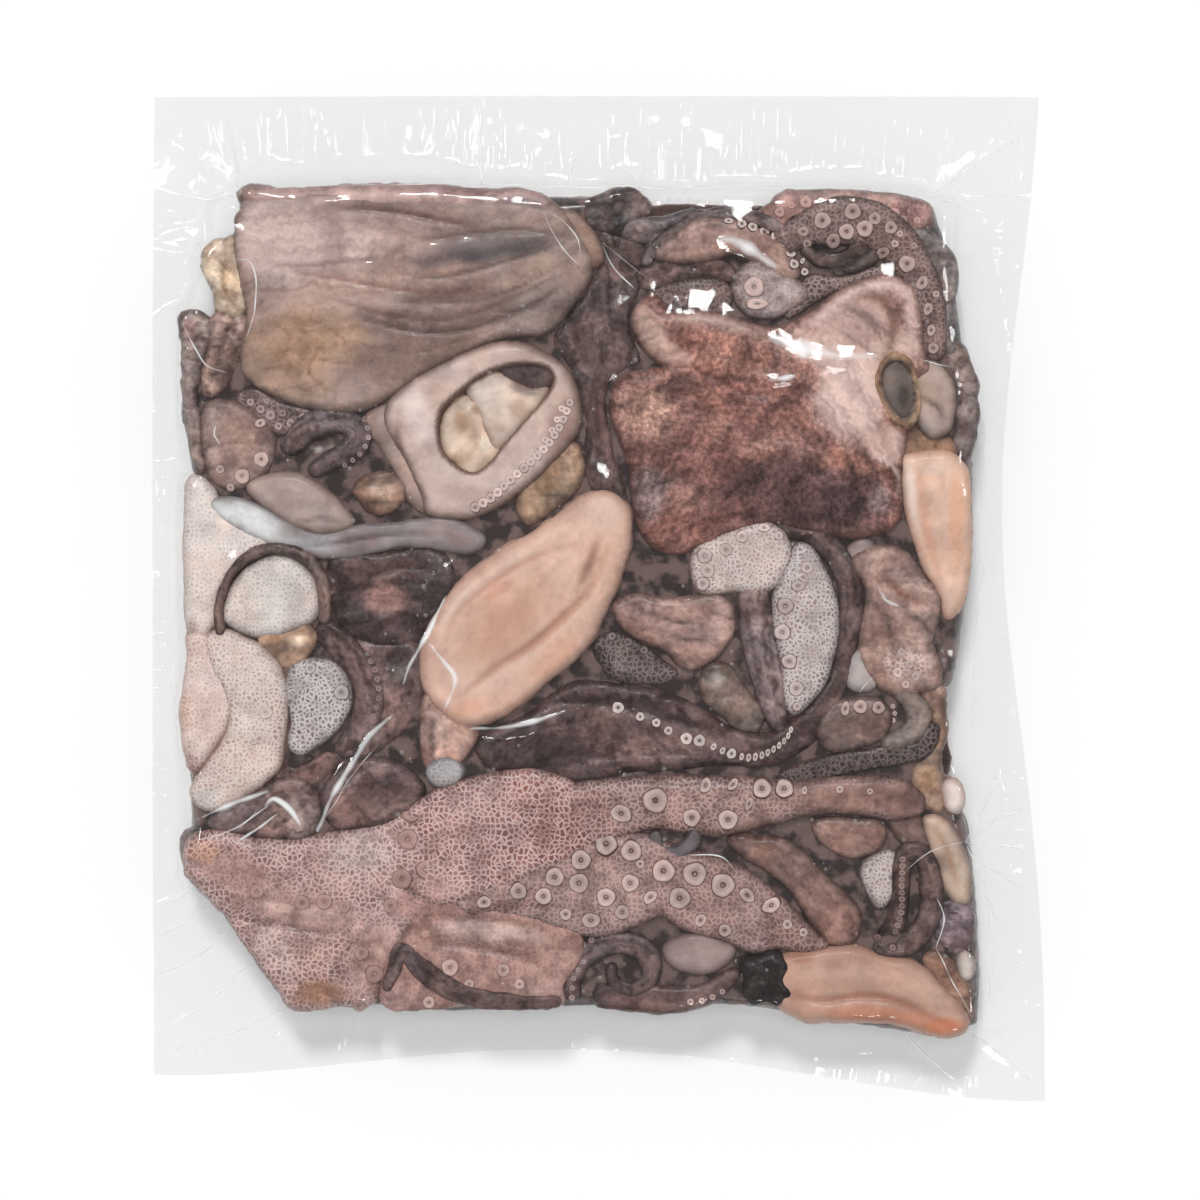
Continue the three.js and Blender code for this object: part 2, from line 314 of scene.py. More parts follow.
def makeSlab(name, form, material):
    seed = form.get("seed", len(slabs) * 7 + 3)
    step = form.get("step", 1.2)
    if "route" in form:
        base = smoothRoute(routeOutline(form["route"], form["widths"]), step, closed=True)
    else:
        base = smoothRoute(toPlane(form["outline"]), step, closed=True)
    if (base[:, 0] * np.roll(base[:, 1], -1) - base[:, 1] * np.roll(base[:, 0], -1)).sum() < 0:
        base = base[::-1]
    ragged = form.get("ragged",
        0.35) * (roughNoise(base, 3.2, seed + 90) + 0.8 * softNoise(base, 8, seed + 91))
    form = {"wrinkle": wrinkleOf[material.name], **form,
        "edge": form["edge"] + form.get("lift", pressed["lift"])}
    loop = base + loopNormals(base) * (ragged + form.get("spread", pressed["spread"]))[:, None]
    low, high = loop.min(axis=0), loop.max(axis=0)
    rows = np.arange(low[1], high[1], step * 0.866)
    grid = np.array([
        (across, row)
        for index, row in enumerate(rows)
        for across in np.arange(low[0] + (index % 2) * step / 2, high[0], step)
    ]).reshape(-1, 2)
    grid = grid[insideLoop(grid, loop)]
    grid = grid[nearOn(grid, loop, closed=True)[:, 0] > step * 1.05]
    inset = [loop - loopNormals(loop) * reach for reach in (0.22, 0.6)]
    bands = np.concatenate([
        ring[(nearOn(ring, loop, closed=True)[:, 0] > reach * 0.85) & insideLoop(ring, loop)]
        for ring, reach in zip(inset, (0.22, 0.6))
    ])
    flat = np.concatenate([loop, bands, grid])
    count = len(loop)
    edges = [(index, (index + 1) % count) for index in range(count)]
    places, _, faces, origins, _, _ = delaunay_2d_cdt(
        [Vector(place) for place in flat], edges, [], 1, 1e-6)
    places = np.array([(place[0], place[1]) for place in places])
    onLoop = {}
    for index, sources in enumerate(origins):
        for source in sources:
            if source < count:
                onLoop[source] = index
    if len(onLoop) < count or len(set(onLoop.values())) < count:
        raise RuntimeError(f"the outline of {name} crosses itself")
    heightAt = makeHeight(form, loop, seed)
    heights = heightAt(places)
    depth = nearOn(places, loop, closed=True)[:, 0]
    tint, net = paint(form, places, depth, seed)
    ring = np.array([onLoop[index] for index in range(count)])
    heights[ring] = form["edge"]
    points = [np.column_stack([places, heights])]
    allFaces = [face if cross2(places, face) > 0 else face[::-1] for face in faces]
    floor = form.get("floor", 9)
    outer, edge = painting["wallOut"], form["edge"]
    lower = [(outer, edge - 1.2), (outer, (edge + floor) / 2), (painting["wallIn"], floor)]
    previous, base = ring, len(places)
    normals = loopNormals(places[ring])
    for outward, height in lower:
        swell = outward + painting["wallSwell"] * roughNoise(places[ring] + 5 * height, 3.0, seed + 80)
        points.append(np.column_stack([places[ring] + normals * swell[:, None], np.full(count, height)]))
        current = base + np.arange(count)
        following = np.roll(previous, -1), np.roll(current, -1)
        allFaces += np.stack([previous, current, following[1]], axis=1).tolist()
        allFaces += np.stack([previous, following[1], following[0]], axis=1).tolist()
        previous, base = current, base + count
    cap = tessellate_polygon([[Vector((x, y, 0)) for x, y in places[ring]]])
    flatCap = [tuple(int(previous[corner]) for corner in face) for face in cap]
    allPoints = np.concatenate(points)
    allFaces += [face if cross2(allPoints, face) < 0 else face[::-1] for face in flatCap]
    sides = np.tile(np.arange(count), len(lower))
    # Painted shade: the sides darken towards the bottom.
    darker = np.repeat(painting["walls"], count)[:, None]
    tint = np.concatenate([tint, tint[ring][sides] * darker])
    net = np.concatenate([net * smoothStep(0, 1.2, depth), 0.0 * sides])
    plan = allPoints[:, :2]
    flow = np.column_stack([flowOf(form, plan), allPoints[:, 2]])
    fields = {
        "tint": np.column_stack([np.clip(tint, 0, 1), np.ones(len(tint))]),
        "flow": flow * metre,
        "net": np.clip(net, 0, 1),
    }
    if form.get("facing") == "down":
        allPoints[:, 2] = form["flip"] - allPoints[:, 2]
        allFaces = [face[::-1] for face in allFaces]
    piece = makeMesh(name, allPoints, allFaces, material, fields)
    addToPouch(piece)
    slabs.append({"name": name, "points": allPoints, "faces": allFaces, "facing": form.get("facing", "up")})
    suckers = list(form.get("suckers", [])) + rowSuckers(form.get("suckerRows", []))
    if suckers:
        makeSuckers(name + "Suckers", suckers, heightAt, form)
    return piece


def cross2(points, face):
    a, b, c = (points[corner] for corner in face[:3])
    return (b[0] - a[0]) * (c[1] - a[1]) - (b[1] - a[1]) * (c[0] - a[0])


def rowSuckers(rows):  # rows of (route, count, first and last size) as single suckers
    spots = []
    for row in rows:
        line = smoothRoute(np.array(row["route"], dtype=float), 1.0)
        reached = np.concatenate([[0], np.cumsum(np.linalg.norm(np.diff(line, axis=0), axis=1))])
        for index in range(row["count"]):
            share = index / max(1, row["count"] - 1)
            place = [np.interp(share * reached[-1], reached, line[:, axis]) for axis in (0, 1)]
            size = row["size"][0] + (row["size"][1] - row["size"][0]) * share
            spots.append((place[0], place[1], size, row.get("squeeze", 1), row.get("turn", 0)))
    return spots


suckerShape = {
    # share of the radius, height in radii, and how far the tint goes to the rim colour; below 0 it goes to
    # the pit colour, painted shade in the ring at the base and in the hole
    "profile": [(1.16, -0.30, 0.0), (1.05, -0.10, -0.75), (0.99, 0.04, -0.2), (0.93, 0.12, 0.9),
    (0.80, 0.15, 1.0),
                (0.56, 0.14, 0.92), (0.47, 0.12, 0.62), (0.40, 0.12, 0.85), (0.27, 0.09, 0.5),
                (0.19, 0.0, -0.3),
                (0.11, -0.10, -0.6)],
    "rim": (208, 180, 172), "pit": (96, 68, 65), "sides": 20,
}


def makeSuckers(name, spots, heightAt, form):
    points, faces, tints = [], [], []
    # Suckers take a softened share of their piece's painted light level.
    paintedLight = form.get("paintedLight", 1) ** 0.3
    rim = linear(form.get("suckerRim", suckerShape["rim"])) * paintedLight
    # The pit colour is painted shade in the ring at the sucker's base and in its hole.
    pit = linear(form.get("suckerShadeColour", suckerShape["pit"])) * paintedLight
    skin = linear(form.get("suckerSkin", form["colour"])) * form.get("paintedLight", 1)
    random = np.random.default_rng(form.get("suckerSeed", 5) + len(spots))
    for spot in spots:
        x, y, size = spot[:3]
        squeeze = spot[3] if len(spot) > 3 else 1
        turn = math.radians(spot[4]) if len(spot) > 4 else 0
        centre = toPlane([(x, y)])[0]
        radius = size * picture["pixel"] / 2
        around = centre + radius * 0.7 * np.array([(0, 0), (1, 0), (-1, 0), (0, 1), (0, -1)])
        levels = heightAt(around)
        slope = np.array([levels[1] - levels[2], levels[3] - levels[4]]) / (1.4 * radius)
        slope = np.clip(slope, -0.8, 0.8)
        middle = max(levels[0], levels[1:].mean()) + 0.06 * radius
        sides = suckerShape["sides"] if size > 9 else 12
        angles = np.arange(sides) / sides * 2 * math.pi
        wobble = 1 + 0.04 * np.sin(angles * 3 + random.uniform(0,
            6)) + 0.03 * np.sin(angles * 5 + random.uniform(0, 6))
        warm = random.uniform(0.78, 1.1)
        first = len(points)
        for share, lift, mix in suckerShape["profile"]:
            u = np.cos(angles) * share * radius * wobble
            v = np.sin(angles) * share * radius * wobble * squeeze
            across = u * math.cos(turn) - v * math.sin(turn)
            along = u * math.sin(turn) + v * math.cos(turn)
            height = middle + slope[0] * across + slope[1] * along + lift * radius
            points += np.stack([centre[0] + across, centre[1] + along, height], axis=1).tolist()
            colour = skin * (1 - mix) + rim * mix if mix >= 0 else skin * (1 + mix) - pit * mix
            tints += [np.append(np.clip(colour * warm, 0, 1), 1)] * sides
        rings = len(suckerShape["profile"])
        for ring in range(rings - 1):
            for side in range(sides):
                a = first + ring * sides + side
                b = first + ring * sides + (side + 1) % sides
                faces.append((a, b, b + sides, a + sides))
        faces.append(tuple(first + (rings - 1) * sides + side for side in range(sides)))
    points = np.array(points)
    if form.get("facing") == "down":
        points[:, 2] = form["flip"] - points[:, 2]
        faces = [face[::-1] for face in faces]
    fields = {"tint": np.array(tints), "flow": points * metre, "net": np.zeros(len(points))}
    piece = makeMesh(name, points, faces, materials["sucker"], fields)
    addToPouch(piece)
    slabs.append({"name": name, "points": points, "faces": faces, "facing": form.get("facing", "up")})


# Node groups and materials
def newGroup(name, inputs, outputs):
    group = bpy.data.node_groups.new(name, "ShaderNodeTree")
    for label, kind, value in inputs:
        socket = group.interface.new_socket(label, in_out="INPUT", socket_type=kind)
        if value is not None:
            socket.default_value = value
    for label, kind in outputs:
        group.interface.new_socket(label, in_out="OUTPUT", socket_type=kind)
    return group, group.nodes.new("NodeGroupInput"), group.nodes.new("NodeGroupOutput")


def addNode(tree, kind, values=None, **settings):
    node = tree.nodes.new(kind)
    if kind == "ShaderNodeTexNoise":  # the pieces lie flat, so patterns are read from above
        node.noise_dimensions = "2D"
    if kind == "ShaderNodeTexVoronoi":
        node.voronoi_dimensions = "2D"
    for label, value in settings.items():
        setattr(node, label, value)
    for label, value in (values or {}).items():
        if isinstance(value, bpy.types.NodeSocket):
            tree.links.new(value, node.inputs[label])
        else:
            node.inputs[label].default_value = value
    return node


def mathNode(tree, operation, first, second=0.0, clamp=False):
    return addNode(tree, "ShaderNodeMath", {0: first, 1: second}, operation=operation,
        use_clamp=clamp).outputs[0]


def rangeNode(tree, value, low, high, toLow=0.0, toHigh=1.0):
    values = {"Value": value, "From Min": low, "From Max": high, "To Min": toLow, "To Max": toHigh}
    return addNode(tree, "ShaderNodeMapRange", values, interpolation_type="SMOOTHSTEP").outputs["Result"]


def mixColour(tree, factor, first, second, blend="MIX"):
    node = tree.nodes.new("ShaderNodeMix")
    node.data_type = "RGBA"
    node.blend_type = blend
    for index, value in ((0, factor), (6, first), (7, second)):
        if isinstance(value, bpy.types.NodeSocket):
            tree.links.new(value, node.inputs[index])
        else:
            node.inputs[index].default_value = value
    return node.outputs[2]


def buildTissueGrain():  # fibres, clouds, fine grain and thin veins of raw flesh
    group, given, out = newGroup("tissueGrain", [
        ("Tint", "NodeSocketColor", (0.5, 0.4, 0.38, 1)),
        ("Place", "NodeSocketVector", None),
        ("Flow", "NodeSocketVector", None),
        ("Fibre", "NodeSocketFloat", 0.5),
        ("Mottle", "NodeSocketFloat", 0.5),
        ("Grain", "NodeSocketFloat", 0.3),
        ("Vein", "NodeSocketFloat", 0.2),
    ], [("Colour", "NodeSocketColor"), ("Height", "NodeSocketFloat"), ("Roughness", "NodeSocketFloat"),
        ("Cloud", "NodeSocketFloat"), ("Bend", "NodeSocketColor")])

    def times(first, second):
        return mathNode(group, "MULTIPLY", first, second)

    def shift(colour, value, amount, dark, light):  # darker where the value is low, lighter where it is high
        low = times(rangeNode(group, value, 0.52, 0.34), amount)
        high = times(rangeNode(group, value, 0.50, 0.68), amount)
        return mixColour(group, high, mixColour(group, low, colour, dark, "MULTIPLY"), light, "MULTIPLY")

    place = given.outputs["Place"]
    coarse = addNode(group, "ShaderNodeTexNoise",
        {"Vector": place, "Scale": 150.0, "Detail": 2.0, "Roughness": 0.65})
    grain = addNode(group, "ShaderNodeTexNoise",
        {"Vector": place, "Scale": 620.0, "Detail": 1.0, "Roughness": 0.7})
    stretched = addNode(group, "ShaderNodeVectorMath", {0: given.outputs["Flow"], 1: (24, 250, 260)},
        operation="MULTIPLY")
    warp = addNode(group, "ShaderNodeVectorMath", {0: coarse.outputs["Color"], 1: (1.7, 1.7, 1.7)},
        operation="MULTIPLY")
    lines = addNode(group, "ShaderNodeVectorMath", {0: stretched.outputs[0], 1: warp.outputs[0]},
        operation="ADD")
    fibre = addNode(group, "ShaderNodeTexNoise",
        {"Vector": lines.outputs[0], "Scale": 1.0, "Detail": 2.0, "Roughness": 0.6})
    cloud, strand, dust = coarse.outputs["Fac"], fibre.outputs["Fac"], grain.outputs["Fac"]
    colour = shift(given.outputs["Tint"], cloud, given.outputs["Mottle"], (0.42, 0.33, 0.32, 1),
        (1.5, 1.46, 1.44, 1))
    colour = shift(colour, strand, given.outputs["Fibre"], (0.42, 0.34, 0.33, 1), (1.42, 1.4, 1.4, 1))
    colour = shift(colour, dust, given.outputs["Grain"], (0.5, 0.4, 0.39, 1), (1.8, 1.78, 1.76, 1))
    side = addNode(group, "ShaderNodeSeparateColor", {0: coarse.outputs["Color"]}).outputs[1]
    off = mathNode(group, "ABSOLUTE", mathNode(group, "SUBTRACT", side, 0.5))
    vein = times(rangeNode(group, off, 0.022, 0.0),
        times(given.outputs["Vein"], rangeNode(group, strand, 0.4, 0.6)))
    colour = mixColour(group, vein, colour, (0.46, 0.34, 0.3, 1), "MULTIPLY")
    height = mathNode(group, "ADD", times(strand, given.outputs["Fibre"]),
        times(dust, given.outputs["Grain"]))
    rough = rangeNode(group, dust, 0.3, 0.7, 0.26, 0.42)
    for label, value in (("Colour", colour), ("Height", height), ("Roughness", rough), ("Cloud", cloud),
                         ("Bend", coarse.outputs["Color"])):
        group.links.new(value, out.inputs[label])
    return group


def buildNetPattern():  # the net of pale lines round darker spots on the inner skin
    group, given, out = newGroup("netPattern", [
        ("Colour", "NodeSocketColor", (0.5, 0.4, 0.38, 1)),
        ("Place", "NodeSocketVector", None),
        ("Bend", "NodeSocketColor", (0.5, 0.5, 0.5, 1)),
        ("Cloud", "NodeSocketFloat", 0.5),
        ("Amount", "NodeSocketFloat", 1.0),
        ("Cells", "NodeSocketFloat", 640.0),
        ("Spot", "NodeSocketColor", (0.32, 0.2, 0.19, 1)),
        ("Line", "NodeSocketColor", (0.86, 0.76, 0.73, 1)),
        ("Width", "NodeSocketFloat", 0.16),
    ], [("Colour", "NodeSocketColor")])
    warp = addNode(group, "ShaderNodeVectorMath", {0: given.outputs["Bend"], 1: (0.0024, 0.0024, 0.0024)},
        operation="MULTIPLY")
    place = addNode(group, "ShaderNodeVectorMath", {0: given.outputs["Place"], 1: warp.outputs[0]},
        operation="ADD")
    pattern = {"Vector": place.outputs[0], "Scale": given.outputs["Cells"], "Randomness": 0.9}
    edge = addNode(group, "ShaderNodeTexVoronoi", pattern, voronoi_dimensions="2D",
        feature="DISTANCE_TO_EDGE").outputs["Distance"]
    cells = addNode(group, "ShaderNodeTexVoronoi", pattern, voronoi_dimensions="2D")
    strength = mathNode(group, "MULTIPLY", given.outputs["Amount"],
        rangeNode(group, given.outputs["Cloud"], 0.3, 0.58, 0.45, 1.0))
    inCell = rangeNode(group, edge, 0.05, given.outputs["Width"])
    pick = addNode(group, "ShaderNodeSeparateColor", {0: cells.outputs["Color"]}).outputs[0]
    deep = mathNode(group, "MULTIPLY", mathNode(group, "MULTIPLY", inCell, strength),
        rangeNode(group, pick, 0.0, 1.0, 0.4, 1.0))
    line = mathNode(group, "MULTIPLY", mathNode(group, "SUBTRACT", 1.0, inCell),
        mathNode(group, "MULTIPLY", strength, 0.58))
    colour = mixColour(group, deep, given.outputs["Colour"], given.outputs["Spot"], "MULTIPLY")
    colour = mixColour(group, line, colour, given.outputs["Line"])
    group.links.new(colour, out.inputs["Colour"])
    return group


tissueGrain = buildTissueGrain()
netPattern = buildNetPattern()


def makeFlesh(name, fibre, mottle, grain, vein=0.0, net=None, patchy=False, relief=0):
    material = bpy.data.materials.new(name)
    material.use_nodes = True
    tree = material.node_tree
    shader = tree.nodes["Principled BSDF"]
    place = addNode(tree, "ShaderNodeTexCoord").outputs["Object"]
    tissue = addNode(tree, "ShaderNodeGroup", node_tree=tissueGrain)
    tint = addNode(tree, "ShaderNodeAttribute", attribute_name="tint").outputs["Color"]
    flow = addNode(tree, "ShaderNodeAttribute", attribute_name="flow").outputs["Vector"]
    for label, value in (("Tint", tint), ("Place", place), ("Flow", flow)):
        tree.links.new(value, tissue.inputs[label])
    for label, value in (("Fibre", fibre), ("Mottle", mottle), ("Grain", grain), ("Vein", vein)):
        tissue.inputs[label].default_value = value
    colour = tissue.outputs["Colour"]
    if net or patchy:
        amount = addNode(tree, "ShaderNodeAttribute", attribute_name="net").outputs["Fac"]
    if patchy:  # the grain and the clouds keep off the smooth pale places
        for label, least, most in (("Mottle", 0.15, mottle), ("Grain", 0.08, grain)):
            tree.links.new(rangeNode(tree, amount, 0.0, 1.0, least, most), tissue.inputs[label])
    if net:
        netted = addNode(tree, "ShaderNodeGroup", node_tree=netPattern)
        for label, value in (("Colour", colour), ("Place", place), ("Amount", amount),
                             ("Bend", tissue.outputs["Bend"]), ("Cloud", tissue.outputs["Cloud"])):
            tree.links.new(value, netted.inputs[label])
        for label, value in net.items():
            netted.inputs[label].default_value = value
        colour = netted.outputs["Colour"]
    tree.links.new(colour, shader.inputs["Base Color"])
    tree.links.new(tissue.outputs["Roughness"], shader.inputs["Roughness"])
    if relief:
        bump = addNode(tree, "ShaderNodeBump",
            {"Height": tissue.outputs["Height"], "Strength": 0.6, "Distance": relief})
        tree.links.new(bump.outputs["Normal"], shader.inputs["Normal"])
    shader.inputs["Specular IOR Level"].default_value = 0.2
    return material


fineNet = {"Cells": 640.0, "Width": 0.24, "Spot": (0.46, 0.33, 0.32, 1), "Line": (0.70, 0.53, 0.51, 1)}
paleNet = {"Cells": 760.0, "Width": 0.36, "Spot": (0.54, 0.45, 0.46, 1), "Line": (0.86, 0.79, 0.77, 1)}
wrinkleOf = {"mantleSkin": 0.09, "mottledSkin": 0.18, "armSkin": 0.16, "darkSkin": 0.24, "webSkin": 0.1,
             "paleFlesh": 0.04, "peachFlesh": 0.03, "gutFlesh": 0.2, "brownJuiceAndShade": 0.3}
materials = {
    "mantle": makeFlesh("mantleSkin", fibre=0.34, mottle=0.2, grain=0.05, vein=0.3),
    "mottled": makeFlesh("mottledSkin", fibre=0.4, mottle=0.7, grain=0.5, patchy=True, relief=0.0006),
    "arm": makeFlesh("armSkin", fibre=0.4, mottle=0.5, grain=0.16, vein=0.3, net=fineNet),
    "dark": makeFlesh("darkSkin", fibre=0.75, mottle=0.7, grain=0.2, vein=0.3, relief=0.0005),
    "web": makeFlesh("webSkin", fibre=0.25, mottle=0.55, grain=0.12, net=fineNet),
    "pale": makeFlesh("paleFlesh", fibre=0.1, mottle=0.16, grain=0.03, net=paleNet),
    "peach": makeFlesh("peachFlesh", fibre=0.1, mottle=0.1, grain=0.02),
    "sucker": makeFlesh("suckerFlesh", fibre=0.05, mottle=0.2, grain=0.05),
    "gut": makeFlesh("gutFlesh", fibre=0.2, mottle=0.6, grain=0.14, vein=0.5),
}
print("materials made")


# Upper left: the grey mantle and what lies round it
greyMantle = {
    "outline": [(250, 198), (300, 194), (360, 192), (420, 193), (480, 195), (530, 198), (556, 208),
        (574, 226), (590, 256), (590, 276), (576, 298), (560, 322), (543, 335), (512, 337), (483, 346),
        (454, 360), (426, 374), (393, 395), (368, 408), (334, 412), (299, 405), (265, 390), (246, 372),
        (244, 345), (250, 315), (243, 290), (238, 262), (237, 238), (243, 215)],
    "edge": 16.6, "top": 22.6, "round": 9, "colour": (158, 138, 131), "step": 1.05, "blotch": 0.12,
    "spine": [(235, 300), (330, 290), (420, 285), (500, 275), (560, 262), (600, 240)],
    "patches": [((300, 242, 104, 42, 0), (206, 186, 181), 0.95),
        ((330, 296, 78, 26, 4), (192, 166, 156), 0.8), ((308, 348, 70, 40, 5), (180, 148, 123), 0.85),
        ((300, 385, 60, 16, -6), (178, 150, 132), 0.7), ((460, 306, 100, 26, 10), (114, 93, 87), 0.8),
        ((410, 352, 70, 30, 18), (126, 103, 94), 0.75), ((486, 252, 74, 15, 8), (92, 87, 91), 0.92),
        ((452, 232, 60, 9, 4), (150, 130, 128), 0.5), ((528, 276, 44, 14, 22), (178, 154, 142), 0.9),
        ((545, 312, 26, 16, 40), (110, 96, 94), 0.7), ((430, 262, 30, 14, 0), (122, 106, 106), 0.7),
        ((390, 226, 60, 12, 4), (156, 134, 130), 0.7)],
    "folds": [dent(0.9, -0.9, [(425, 243), (470, 236), (520, 232), (572, 240)]),
        dent(0.8, -0.7, [(398, 275), (440, 279), (490, 268), (560, 246)]), dent(0.7, -0.6, [(285, 272),
        (340, 281), (400, 291), (450, 296), (488, 288)], (128, 92, 84)),
        dent(0.8, -0.8, [(366, 322), (420, 333), (470, 330), (515, 314), (560, 290)]),
        dent(0.7, -0.7, [(492, 313), (528, 310), (562, 288)]),
        dent(0.7, -0.35, [(262, 262), (300, 268), (360, 262), (420, 256)], (150, 126, 124)),
        dent(0.6, -0.35, [(300, 330), (320, 348), (310, 372), (330, 392)], (140, 106, 84)), dent(1.1, -0.8,
        [(340, 211), (390, 213), (434, 221), (478, 229)], (100, 72, 62), 0.9),
        dent(0.8, -0.5, [(470, 206), (510, 204), (552, 214)], (92, 76, 80)), dent(0.5, -0.4, [(330, 300),
        (390, 316), (440, 322), (500, 306), (566, 272)], (100, 78, 72)),
        dent(0.5, -0.4, [(350, 342), (410, 354), (460, 342), (520, 320)], (104, 82, 74)),
        dent(0.5, -0.4, [(420, 300), (470, 304), (520, 288), (570, 262)], (96, 78, 74)),
        dent(0.4, -0.25, [(262, 322), (290, 334), (284, 358), (262, 366)], (134, 102, 80)),
        dent(0.4, -0.25, [(300, 318), (330, 330), (352, 352), (340, 384)], (134, 102, 80)),
        dent(0.4, -0.25, [(284, 376), (310, 360), (350, 364), (380, 352)], (130, 100, 82)),
        dent(1.2, 0.5, [(345, 300), (390, 308), (440, 312), (480, 305)]),
        dent(1.6, 0.4, [(400, 262), (440, 252), (500, 245), (560, 232)], shade=0.1),
        dent(1.4, 0.5, [(470, 345), (510, 326), (545, 318)]), dent(1.2, 0.4, [(262, 385), (300, 400),
        (350, 404), (400, 388)], (186, 162, 146), 0.35)],
}
makeSlab("greyMantle", greyMantle, materials["mantle"])

mantleFold = {
    "outline": [(246, 195), (252, 189), (300, 191), (400, 188), (480, 191), (540, 196), (550, 208),
        (535, 216), (500, 219), (440, 217), (390, 212), (340, 209), (300, 206), (258, 208)],
    "edge": 17.4, "top": 22.4, "round": 8, "colour": (184, 154, 150), "rimShade": 0.45, "blotch": 0.3,
    "ragged": 0.6,
    "patches": [((370, 199, 60, 7, 0), (208, 184, 176), 0.8), ((280, 200, 36, 8, 0), (190, 164, 158), 0.6),
        ((470, 202, 50, 8, 0), (176, 156, 152), 0.6), ((520, 206, 30, 9, 0), (104, 92, 96), 0.8)],
    "folds": [dent(0.9, 0.6, [(320, 203), (380, 199), (440, 201), (500, 202)])],
}
makeSlab("mantleFold", mantleFold, materials["mantle"])

cornerTissue = {
    "outline": [(238, 193), (255, 190), (262, 204), (264, 224), (254, 238), (242, 236), (238, 222),
        (243, 208)],
    "edge": 16, "top": 21, "round": 4, "colour": (172, 152, 144), "blotch": 0.5, "ragged": 0.8,
    "patches": [((250, 222, 10, 9, 0), (186, 160, 152), 0.8), ((246, 200, 8, 7, 0), (82, 68, 70), 0.8)],
}
makeSlab("cornerTissue", cornerTissue, materials["gut"])

gutStrip = {
    "outline": [(204, 258), (212, 245), (224, 237), (237, 238), (240, 256), (247, 284), (246, 306),
        (236, 318), (222, 312), (214, 290)],
    "edge": 14, "top": 21, "round": 4, "colour": (232, 212, 188), "blotch": 0.25, "ragged": 0.9,
    "rimShade": 0.4,
    "patches": [((232, 285, 12, 22, 0), (214, 184, 150), 0.6),
        ((222, 250, 14, 8, 20), (232, 216, 198), 0.7)],
    "folds": [dent(0.7, -0.9, [(212, 258), (224, 266), (226, 290), (238, 308)], (128, 94, 70))],
}
makeSlab("gutStrip", gutStrip, materials["gut"])

sideFlap = {
    "outline": [(180, 318), (190, 312), (205, 318), (213, 324), (208, 350), (201, 375), (197, 400),
        (203, 430), (206, 468), (198, 474), (189, 440), (184, 400), (182, 358)],
    "edge": 13, "top": 19.5, "round": 3.5, "colour": (152, 137, 132), "edgeShadeColour": (60, 50, 52),
    "ragged": 0.6,
    "patches": [((190, 330, 9, 14, 0), (128, 98, 98), 0.7), ((192, 400, 6, 40, 4), (150, 134, 132), 0.6)],
    "folds": [dent(0.8, -1.0, [(190, 325), (198, 350), (196, 380)])],
}
makeSlab("sideFlap", sideFlap, materials["dark"])

innerFlap = {
    "outline": [(214, 318), (236, 312), (248, 322), (246, 348), (236, 366), (226, 388), (208, 396),
        (204, 374), (210, 350)],
    "edge": 15.5, "top": 20.2, "round": 4, "colour": (162, 140, 132), "blotch": 0.35,
    "patches": [((222, 372, 12, 16, 0), (92, 76, 74), 0.7)],
    "folds": [dent(0.8, -0.9, [(236, 316), (224, 345), (214, 380)]),
        dent(0.7, -0.6, [(244, 330), (236, 355), (228, 380)])],
}
makeSlab("innerFlap", innerFlap, materials["dark"])

bowlLip = {
    "outline": [(366, 422), (378, 410), (398, 408), (410, 440), (424, 470), (432, 500), (424, 512),
        (410, 500), (396, 470), (380, 444)],
    "edge": 16.6, "paintedLight": 0.8, "top": 20.6, "round": 4, "colour": (190, 168, 160),
    "edgeShadeColour": (110, 84, 78),
}
makeSlab("bowlLip", bowlLip, materials["pale"])

openBowl = {
    "outline": [(386, 418), (394, 398), (414, 381), (440, 367), (468, 354), (495, 345), (522, 345),
        (546, 355), (566, 372), (577, 396), (579, 424), (570, 442), (556, 458), (540, 474), (520, 491),
        (500, 504), (478, 514), (451, 517), (430, 512), (424, 496), (412, 470), (398, 446)],
    "edge": 17, "paintedLight": 0.96, "top": 23, "round": 8, "colour": (206, 186, 179), "step": 1.0, "blotch": 0.06,
    "edgeShadeColour": (104, 78, 70), "edgeShadeWidth": 2.6, "rimShade": 0.75,
    "patches": [((420, 420, 18, 34, 20), (236, 222, 216), 0.95),
        ((470, 496, 60, 14, -16), (196, 172, 164), 0.8), ((560, 430, 16, 44, -20), (160, 130, 122), 0.8),
        ((545, 352, 36, 12, -10), (160, 136, 126), 0.6), ((420, 470, 10, 30, -30), (204, 180, 170), 0.6)],
    # the pit colour is painted shade in the bowl's hollow
    "pits": [{"outline": [(437, 429), (441, 410), (452, 398), (466, 386), (483, 374), (503, 366),
        (526, 363), (548, 367), (556, 380), (549, 397), (529, 420), (509, 443), (491, 466), (474, 476),
        (455, 468), (441, 452)], "depth": 5.2, "lip": 1.6, "colour": (104, 76, 62), "shade": 0.9}],
    "folds": [dent(1.2, -1.0, [(424, 500), (408, 470), (400, 446), (398, 425)], (100, 72, 64), 0.85)],
    "suckerRows": [{"route": [(570, 404), (562, 424), (548, 446), (530, 464), (512, 480), (494, 497),
        (476, 508)], "count": 17, "size": (8.5, 10)},
        {"route": [(562, 410), (552, 432), (538, 450)], "count": 5, "size": (7, 7)}],
    "suckerRim": (226, 204, 196), "suckerSkin": (170, 136, 128),
}
makeSlab("openBowl", openBowl, materials["pale"])

